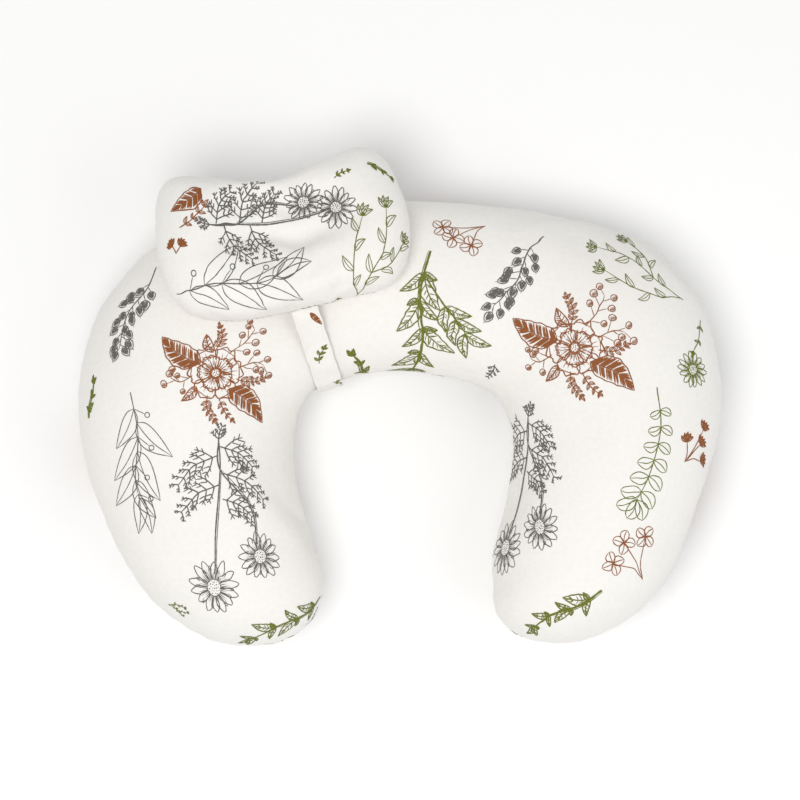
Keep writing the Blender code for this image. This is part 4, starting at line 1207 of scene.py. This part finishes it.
# ---- casings and fillings, inside the covers -------------------------------------------------------
for prefix, pillow, points in (("main", main, main_points), ("head", head, head_points)):
    normals = vertex_normals(points, pillow.faces)
    for name, inset, lumps, faces, surface, slot in (
        ("liner_top", CASING_INSET, 0.0, pillow.faces_top, CASING, "inner_casing"),
        ("liner_bottom", CASING_INSET, 0.0, pillow.faces_under, CASING, "inner_casing"),
        ("filling", FILLING_INSET, LUMPS, pillow.faces, FIBRE, "fibre_filling"),
    ):
        noise = lumps * np.sin(points[:, 0] / 9) * np.sin(points[:, 1] / 11) * np.sin(points[:, 2] / 8 + 1)
        moved = points - normals * (inset + np.abs(noise))[:, None]
        ending = "fibre" if surface is FIBRE else "cloth"
        obj = panel_mesh(f"{prefix}_{name}_{ending}", moved, faces, pillow.flat)
        finish_piece(obj, surface, f"{prefix}_pillow", slot, f"{prefix}_{name}")


# ---- seam stitches ---------------------------------------------------------------------------------
def tube(points, radius, sides=6):
    pts = np.array(points, float)
    heading = unit(np.gradient(pts, axis=0))
    up = np.array([0, 1.0, 0]) if abs(heading[0][2]) > 0.9 else np.array([0, 0, 1.0])
    verts = []
    for p, h, r in zip(pts, heading, np.broadcast_to(radius, len(pts))):
        side = unit(np.cross(h, up))
        top = np.cross(side, h)
        for k in range(sides):
            turn = 2 * math.pi * k / sides
            verts.append(p + r * (math.cos(turn) * side + math.sin(turn) * top))
    rings = [[i * sides + k for k in range(sides)] for i in range(len(pts))]
    faces = []
    for low, high in zip(rings, rings[1:]):
        faces += [(low[k], low[(k + 1) % sides], high[(k + 1) % sides], high[k]) for k in range(sides)]
    return verts, faces + [tuple(rings[0][::-1]), tuple(rings[-1])]


def joined(parts):
    verts, faces = [], []
    for part_verts, part_faces in parts:
        base = len(verts)
        verts += list(part_verts)
        faces += [tuple(base + k for k in face) for face in part_faces]
    return np.array(verts), faces


def stitches(name, line, body, *nodes, length, gap, radius, closed=False, skip=None):
    """Short thread dashes along a line, their ends dipping into the cloth."""
    ends = np.vstack([line, line[:1]]) if closed else line
    at = lengths_along(ends)
    count = int(at[-1] / (length + gap))
    parts = []
    for k in range(count):
        spots = sampled(ends, k * at[-1] / count + length * np.array([0, 0.2, 0.8, 1.0]), at)
        if skip is None or not skip(spots.mean(0)):
            parts.append(tube(spots, np.array([0.35, 1, 1, 0.35]) * radius))
    verts, faces = joined(parts)
    mesh_piece(name, verts * MM, faces, THREAD, body, "thread", *nodes)


def on_zip(point):
    return point[1] > ZIP_BEHIND and ZIP_FROM < point[0] < ZIP_TO


stitches("main_seam_stitches", main_points[: main.seam_count], "main_pillow", "main_seam_thread",
         length=2.5, gap=0.7, radius=0.28, closed=True, skip=on_zip)
stitches("head_seam_stitches", head_points[: head.seam_count], "head_pillow", "head_seam_thread",
         length=2.3, gap=0.7, radius=0.26, closed=True)


# ---- zips ------------------------------------------------------------------------------------------
def coil_teeth(zip_name, side, line, radius=0.62, wire=0.24, pitch=1.45):
    at = lengths_along(line)
    t = np.linspace(0, at[-1], int(at[-1] / pitch) * 10 + 1)
    core = sampled(line, t, at)
    heading = unit(np.gradient(core, axis=0))
    across = unit(np.cross(heading, (0, 0, 1.0)))
    turn = 2 * math.pi * t[:, None] / pitch
    spots = core + radius * (np.cos(turn) * across + np.sin(turn) * np.cross(across, heading))
    verts, faces = tube(spots, wire, sides=5)
    mesh_piece(f"{zip_name}_zip_teeth_{side}", np.array(verts) * MM, faces, COIL, f"{zip_name}_pillow",
               "zip_coil", f"{zip_name}_zip_coil_{side}")


for side in ("upper", "lower"):
    coil_teeth("main", side, centre_line(f"main_zip_coil_{side}", (1, 0, 0)))
for side, line in zip(("back", "front"), head_coils):
    coil_teeth("head", side, line)

for node, obj in NODES.items():
    if "zip_tape" in node:
        surface = TAPE
    elif "zip_" in node and "coil" not in node:
        surface = METAL
    elif "label" in node:
        surface = LABEL
    elif "patch" in node:
        surface = HOOKS
    else:
        continue
    obj.data.materials.clear()
    obj.data.materials.append(surface)
    if surface is METAL:
        bevel = obj.modifiers.new("worn_edges", "BEVEL")
        bevel.width = 0.00022
        bevel.segments = 2
        bevel.limit_method = "ANGLE"


# ---- strap -----------------------------------------------------------------------------------------
def in_strap_plane(points):
    """Points as seen from the strap's side: (behind its foot, height)."""
    return np.stack([(points[:, :2] - STRAP_FOOT) @ STRAP_BACK, points[:, 2]], axis=1)


def from_strap_plane(behind_foot, height, offset):
    return np.array([*(STRAP_FOOT + STRAP_BACK * behind_foot + STRAP_SIDE * offset), height])


def nearest(spot, others):
    return min(range(len(others)), key=lambda j: np.hypot(*(others[j] - spot)))


def band_line(node):
    """A band's middle line in the strap's plane, from its higher end."""
    spots = []
    for p in in_strap_plane(mesh_numbers(NODES[node].data.vertices, "co", 3) / MM):
        if all(np.hypot(*(p - q)) > 0.05 for q in spots):
            spots.append(p)
    middles = []
    while len(spots) > 1:
        spot = spots.pop(0)
        middles.append((spot + spots.pop(nearest(spot, spots))) / 2)
    line = [middles.pop(max(range(len(middles)), key=lambda k: middles[k][1]))]
    while middles:
        line.append(middles.pop(nearest(line[-1], middles)))
    return np.array(line)


def sewn_in(line):
    """The band's line with its upper end carried on into the head pillow's seam, if it ends beside it."""
    seam = head_points[: head.seam_count]
    spots = in_strap_plane(seam)
    beside = np.abs((seam[:, :2] - STRAP_FOOT) @ STRAP_SIDE) < 6
    gaps = np.where(beside, np.hypot(*(spots - line[0]).T), 1e9)
    if gaps.min() > 12:
        return line
    target = spots[int(np.argmin(gaps))]
    return np.vstack([target + (target - line[0]) * 0.35, line])


def band_faces(long, wide):
    """The faces of a closed band: its outer grid, its inner grid, its two edges and its two ends."""
    size = long * wide
    faces = []
    for a in (k * wide + c for k in range(long - 1) for c in range(wide - 1)):
        faces.append((a, a + 1, a + wide + 1, a + wide))
        faces.append((size + a, size + a + wide, size + a + wide + 1, size + a + 1))
    for k in range(long - 1):
        for a in (k * wide, k * wide + wide - 1):
            faces.append((a, a + wide, size + a + wide, size + a))
    for k in (0, long - 1):
        for a in range(k * wide, k * wide + wide - 1):
            faces.append((a, size + a, size + a + 1, a + 1))
    return faces


class Band:
    """A folded band of the cover's cloth, hemmed along each edge. Motifs are laid on it as on a Cut."""

    # Across the band: where each column lies, and how far its cloth stands from the middle.
    COLUMNS = (-1, -0.97, -0.88, -0.8, -0.74, -0.45, -0.15, 0.15, 0.45, 0.74, 0.8, 0.88, 0.97, 1)
    SWELL = (0.1, 0.5, 0.62, 0.5, 0.28, 0.34, 0.4, 0.4, 0.34, 0.28, 0.5, 0.62, 0.5, 0.1)

    def __init__(self, name, node, body, seed):
        line = catmull(sewn_in(band_line(node)), 4)
        at = lengths_along(line)
        self.length = at[-1]
        t = np.linspace(0, self.length, max(8, round(self.length / 2.5)))
        line = sampled(line, t, at)
        heading = unit(np.gradient(line, axis=0))
        out = np.stack([heading[:, 1], -heading[:, 0]], axis=1)
        if ((line - line.mean(0)) * out).sum() < 0:
            out = -out
        edge = STRAP_WIDTH / 2 + 0.3 * wave_noise(seed, t, (17.0, 31.0))
        loose = 0.22 * wave_noise(seed + 1, t, (11.0, 23.0))
        points, flat = [], []
        for side in (1, -1):
            for k in range(len(line)):
                for c, swell in zip(self.COLUMNS, self.SWELL):
                    spot = line[k] + out[k] * (side * swell + loose[k] * (1 - abs(c)))
                    points.append(from_strap_plane(*spot, c * edge[k]))
                    flat.append((t[k], c * STRAP_WIDTH / 2))
        wide, size = len(self.COLUMNS), len(points) // 2
        obj = panel_mesh(name, np.array(points), band_faces(len(line), wide), np.array(flat))
        edit_mesh(obj, lambda mesh: bmesh.ops.recalc_face_normals(mesh, faces=mesh.faces))
        finish_piece(obj, COTTON, body, "printed_cotton", node)
        for sign, mark in ((1, "right"), (-1, "left")):
            spots = zip(line + out * HEM_HEIGHT, sign * (edge - HEM_INSET))
            spots = np.array([from_strap_plane(*spot, offset) for spot, offset in spots])
            stitches(f"{name}_hem_{mark}", spots, body, length=2.2, gap=0.8, radius=0.2)
        self.verts, self.flat = np.array(points)[:size], np.array(flat)[:size]
        self.faces = [(k * wide + c, k * wide + c + 1, (k + 1) * wide + c + 1, (k + 1) * wide + c)
                      for k in range(len(line) - 1) for c in range(wide - 1)]
        self.tree = BVHTree.FromPolygons([(x, y, 0.0) for x, y in self.flat], self.faces)

    def facing(self, x, y):
        return self.out(self.faces[self.tree.find_nearest((x, y, 0.0))[2]])

    def out(self, face):
        a, b, _, d = (self.verts[k] for k in face)
        out = unit(np.cross(b - a, d - a))
        centre = np.array([*(STRAP_FOOT + STRAP_BACK * 90), 80.0])
        return -out if (a - centre) @ out < 0 else out

    def at(self, x, y, lift):
        place, _, face, _ = self.tree.find_nearest((x / MM, y / MM, 0.0))
        a, b, c, d = self.faces[face]
        u = (place[1] - self.flat[a][1]) / max(self.flat[b][1] - self.flat[a][1], 1e-6)
        v = (place[0] - self.flat[a][0]) / max(self.flat[d][0] - self.flat[a][0], 1e-6)
        near = self.verts[a] * (1 - u) + self.verts[b] * u
        far = self.verts[d] * (1 - u) + self.verts[c] * u
        return (near * (1 - v) + far * v + self.out(self.faces[face]) * (lift / MM)) * MM


front_band = Band("strap_front_cloth", "strap_front_band", "head_pillow", 21)
back_band = Band("strap_back_cloth", "strap_back_band", "head_pillow", 33)
Band("strap_tab_cloth", "strap_tab", "strap_tab", 45)


# ---- where the motifs lie --------------------------------------------------------------------------
def new_shapes():
    return {ink: [] for ink in INKS}


class Print:
    """The motifs of one panel. Plan points are in millimetres; each motif has a seed and an ink."""

    def __init__(self, panel, pillow):
        self.cut, self.pillow = Cut(panel), pillow
        self.flat = pillow.flat[: pillow.seam_count]
        self.shapes = new_shapes()

    def motif(self, seed, ink, at, to, draw, flip=False):
        """Draws a motif whose root lies over one plan point and which runs towards another."""
        root = self.cut.over(*at)
        run = self.cut.over(*to) - root
        draw(Pen(self.shapes, seed, root, math.atan2(run[1], run[0]), ink, flip), float(np.linalg.norm(run)))

    def centred(self, seed, ink, at, angle, draw):
        middle = self.cut.over(*at)
        ahead = self.cut.over(at[0] + 12 * math.cos(angle), at[1] + 12 * math.sin(angle)) - middle
        draw(Pen(self.shapes, seed, middle, math.atan2(ahead[1], ahead[0]), ink))

    def by_seam(self, seed, ink, at, depth, angle, draw):
        """Draws a motif a given depth in from the seam's nearest point; angle 0 runs along the seam."""
        seam = self.pillow.points[: self.pillow.seam_count, :2]
        near = int(np.argmin(np.hypot(*(seam - np.array(at)).T)))
        run = unit(self.flat[(near + 1) % len(seam)] - self.flat[near - 1])
        inwards = np.array([run[1], -run[0]])
        if not inside(self.flat, (self.flat[near] + inwards * 12)[None])[0]:
            inwards = -inwards
        origin = self.flat[near] + inwards * depth
        draw(Pen(self.shapes, seed, origin, math.atan2(run[1], run[0]) + angle, ink))

    def lay(self, lift, name, body):
        ink_pieces(self.shapes, self.cut, self.flat, lift, name, body)


def sized(draw, *args):
    """The motif at a size of its own, whatever the distance it runs over."""
    return lambda pen, *distance: draw(pen, *args)


def grown(draw, factor, *args):
    """The motif as long as the distance it runs over, times a factor."""
    return lambda pen, distance: draw(pen, distance * factor, *args)


CLOVERS = sized(clovers, 11, ((34, 6), (20, 18), (40, -8)))
CUPS = sized(cups, 9, ((26, 0), (14, 12), (18, -12), (38, 8)))

top = Print(main_top, main)
# Left arm
top.motif(11, "grey", (-226, 120), (-262, 44), bud_spray)
top.centred(12, "rust", (-169, 19), 0.0, sized(bouquet, 25))
top.motif(13, "grey", (-247, 2), (-236, -112), grown(line_branch, 1, 7, 0.44))
top.motif(14, "grey", (-165, -44), (-160, -176), daisy_pair)
top.motif(15, "green", (-76, -184), (-135, -222), grown(bold_sprig, 1.05, 4, False))
top.motif(16, "green", (-214, -192), (-196, -201), sized(fine_sprig, 24))
top.motif(17, "green", (-287, -20), (-283, 10), sized(bold_sprig, 34, 3, False))
# Arch
top.motif(21, "green", (29, 134), (12, 24), bold_sprig, flip=True)
top.motif(22, "green", (-30, 24), (-56, 62), sized(bold_sprig, 40, 3, False))
top.centred(23, "rust", (80, 158), 3.3, CLOVERS)
# Right arm
top.motif(31, "grey", (133, 148), (89, 80), bud_spray, flip=True)
top.motif(32, "green", (262, 90), (186, 146), fine_sprig)
top.centred(33, "rust", (160, 42), 0.15, sized(bouquet, 26))
top.centred(34, "green", (270, 24), 0.4, sized(daisy, (0, 0), 17))
top.motif(35, "green", (279, 72), (271, 40), lambda pen, n: twig(pen, [(0, 0), (n * 0.5, 2), (n, 0)], 3, 7))
top.motif(36, "green", (236, 6), (220, -112), round_fern)
top.centred(37, "rust", (262, -62), 0.9, CUPS)
top.centred(38, "rust", (222, -170), 1.9, sized(clovers, 11, ((40, 2), (28, 20), (34, -18))))
top.motif(39, "grey", (119, -20), (102, -142), daisy_pair)
top.motif(40, "green", (184, -180), (122, -212), grown(bold_sprig, 1.02, 4, False))
top.motif(41, "grey", (88, 30), (76, 14), sized(feather_twig, [(0, 0), (9, 2), (18, 1)], 4, 6))
top.lay(MAIN_LIFT, "main_top_print", "main_pillow")

under = Print(main_under, main)
under.centred(51, "rust", (-188, 60), 1.2, sized(bouquet, 25))
under.motif(52, "grey", (-190, -10), (-165, -130), daisy_pair)
under.motif(60, "grey", (195, -60), (165, -150), daisy_pair, flip=True)
under.motif(55, "green", (-60, 96), (50, 100), round_fern)
under.centred(56, "grey", (110, 100), 0.4, sized(daisy, (0, 0), 22))
under.centred(58, "rust", (205, 10), 2.6, sized(bouquet, 25))
for k, (ink, at, depth, angle, draw) in enumerate((
    ("grey", (-240, -180), 42, 0.7, sized(line_branch, 80)),
    ("rust", (-296, -60), 44, 1.0, sized(bouquet, 20)),
    ("green", (-290, 60), 60, -0.4, sized(bold_sprig, 70, 4)),
    ("rust", (-200, 165), 38, 0.5, CLOVERS),
    ("grey", (-90, 190), 46, 0.6, sized(bud_spray, 74)),
    ("rust", (40, 190), 48, 0.0, sized(bouquet, 20)),
    ("green", (150, 180), 40, -0.3, sized(fine_sprig, 80)),
    ("grey", (245, 130), 70, -0.5, sized(bud_spray, 74)),
    ("green", (298, 10), 46, 2.6, sized(bold_sprig, 72, 4)),
    ("rust", (280, -90), 44, 0.4, sized(bouquet, 20)),
    ("grey", (225, -195), 44, 2.9, sized(line_branch, 80)),
    ("green", (140, -228), 40, 0.4, sized(bold_sprig, 60, 4)),
    ("rust", (95, -150), 36, 1.2, CUPS),
    ("grey", (96, -30), 40, 0.2, sized(bud_spray, 70)),
    ("green", (0, 26), 44, 2.8, sized(bold_sprig, 66, 4)),
    ("rust", (-80, -40), 40, 0.3, CLOVERS),
    ("grey", (-80, -160), 36, 0.2, sized(line_branch, 66)),
    ("green", (-150, -228), 44, 2.8, sized(fine_sprig, 70)),
)):
    under.by_seam(120 + k, ink, at, depth, angle, draw)
under.lay(MAIN_LIFT, "main_under_print", "main_pillow")

top = Print(head_top, head)
top.motif(71, "rust", (-182, 186), (-213, 160), sized(inked_leaf, (0, 0), 0, 34, 19, 5))
top.motif(72, "rust", (-200, 148), (-172, 174), sized(twig, [(0, 0), (14, -2), (30, 1)], 4, 8))
top.centred(73, "rust", (-203, 124), 1.0, sized(cups, 7, ((8, 0), (3, 7))))
top.motif(74, "grey", (-172, 151), (-58, 168),
          grown(daisy_pair, 1, (1.0, 0.0, 19, -0.03), (0.75, 0.11, 18, 0.04)))
top.motif(75, "grey", (-203, 88), (-104, 104), grown(line_branch, 1.08, 6, 0.44))
top.motif(76, "green", (-40, 90), (-8, 150), grown(fine_sprig, 1.2))
top.motif(77, "green", (-30, 210), (-12, 200), sized(bold_sprig, 24, 3, False))
top.motif(78, "green", (-60, 196), (-42, 206), sized(twig, [(0, 0), (7, 1), (13, 0)], 3, 5))
for k, (ink, at) in enumerate((
    ("grey", (-160, 66)), ("grey", (-128, 72)),
    ("green", (-88, 80)), ("green", (-64, 86)), ("green", (-34, 92)),
)):
    top.by_seam(170 + k, ink, at, 0.5, 0.25, sized(twig, [(-7, 0), (0, 1), (8, 0)], 3, 6))
top.lay(HEAD_LIFT, "head_top_print", "head_pillow")

under = Print(head_under, head)
under.motif(81, "green", (-190, 110), (-150, 170), grown(bold_sprig, 1, 4, False))
under.centred(82, "rust", (-28, 182), 0.3, sized(bouquet, 12, 0.8))
under.motif(83, "grey", (-120, 90), (-60, 110), line_branch)
under.lay(HEAD_LIFT, "head_under_print", "head_pillow")

for band, name, marks in (
    (front_band, "strap_front_print", (("rust", 6, 4, 0.4), ("green", 62, -3, 2.6), ("green", 92, 4, 0.6))),
    (back_band, "strap_back_print", (("green", 30, 3, 0.5), ("grey", 78, -4, 2.4))),
):
    shapes = new_shapes()
    for k, (ink, along_band, off, angle) in enumerate(marks):
        pen = Pen(shapes, 90 + k, (along_band, off), angle, ink)
        if ink == "rust":
            inked_leaf(pen, (0, 0), 0, 17, 5, 3, 0.0)
        else:
            twig(pen, [(0, 0), (8, 2), (16, 0)], 3, 7, width=1.1)
    end, edge = band.length - 1, STRAP_WIDTH / 2 - 0.3
    rim = np.array([(1, -edge), (end, -edge), (end, edge), (1, edge)])
    ink_pieces(shapes, band, rim, STRAP_LIFT, name, "head_pillow")


# ---- floor, light and camera -----------------------------------------------------------------------
def floor(size=6.0):
    corners = [(x * size, y * size, 0) for x, y in ((-1, -1), (1, -1), (1, 1), (-1, 1))]
    obj = mesh_object("floor", corners, [(0, 1, 2, 3)], smooth=False)
    obj.location.z = -0.0006
    made, _, principled = shader("floor_paint", 0.9)
    principled.inputs["Base Color"].default_value = linear(252, 252, 252)
    obj.data.materials.append(made)


def area_light(name, place, aim, size, power, colour):
    light = bpy.data.lights.new(name, "AREA")
    light.shape = "DISK"
    light.size = size
    light.energy = power
    light.color = colour
    obj = linked(name, light)
    obj.location = place
    obj.rotation_euler = (Vector(aim) - Vector(place)).to_track_quat("-Z", "Y").to_euler()


floor()
world = bpy.data.worlds.new("studio")
bpy.context.scene.world = world
world.use_nodes = True
background = world.node_tree.nodes["Background"]
background.inputs["Color"].default_value = (1.0, 1.0, 1.0, 1.0)
background.inputs["Strength"].default_value = 0.6
area_light("key", (-0.4, -0.55, 2.5), (0, -0.02, 0.05), 1.2, 27.0, (1.0, 0.99, 0.972))
area_light("fill", (1.4, -0.8, 1.8), (0, 0, 0.05), 1.6, 8.0, (0.97, 0.985, 1.0))
bpy.context.scene.view_settings.view_transform = "Standard"

AIM = Vector((0.0, 0.0, 0.075))
ELEVATION = math.radians(85.0)
FRAME_WIDTH, LENS, SENSOR = 0.751, 135.0, 36.0
towards_camera = Vector((0, -math.cos(ELEVATION), math.sin(ELEVATION)))
camera = bpy.data.cameras.new("camera")
camera.lens, camera.sensor_width = LENS, SENSOR
camera_object = linked("camera", camera)
camera_object.location = AIM + towards_camera * (FRAME_WIDTH * LENS / SENSOR)
camera_object.rotation_euler = (-towards_camera).to_track_quat("-Z", "Y").to_euler()
bpy.context.scene.camera = camera_object
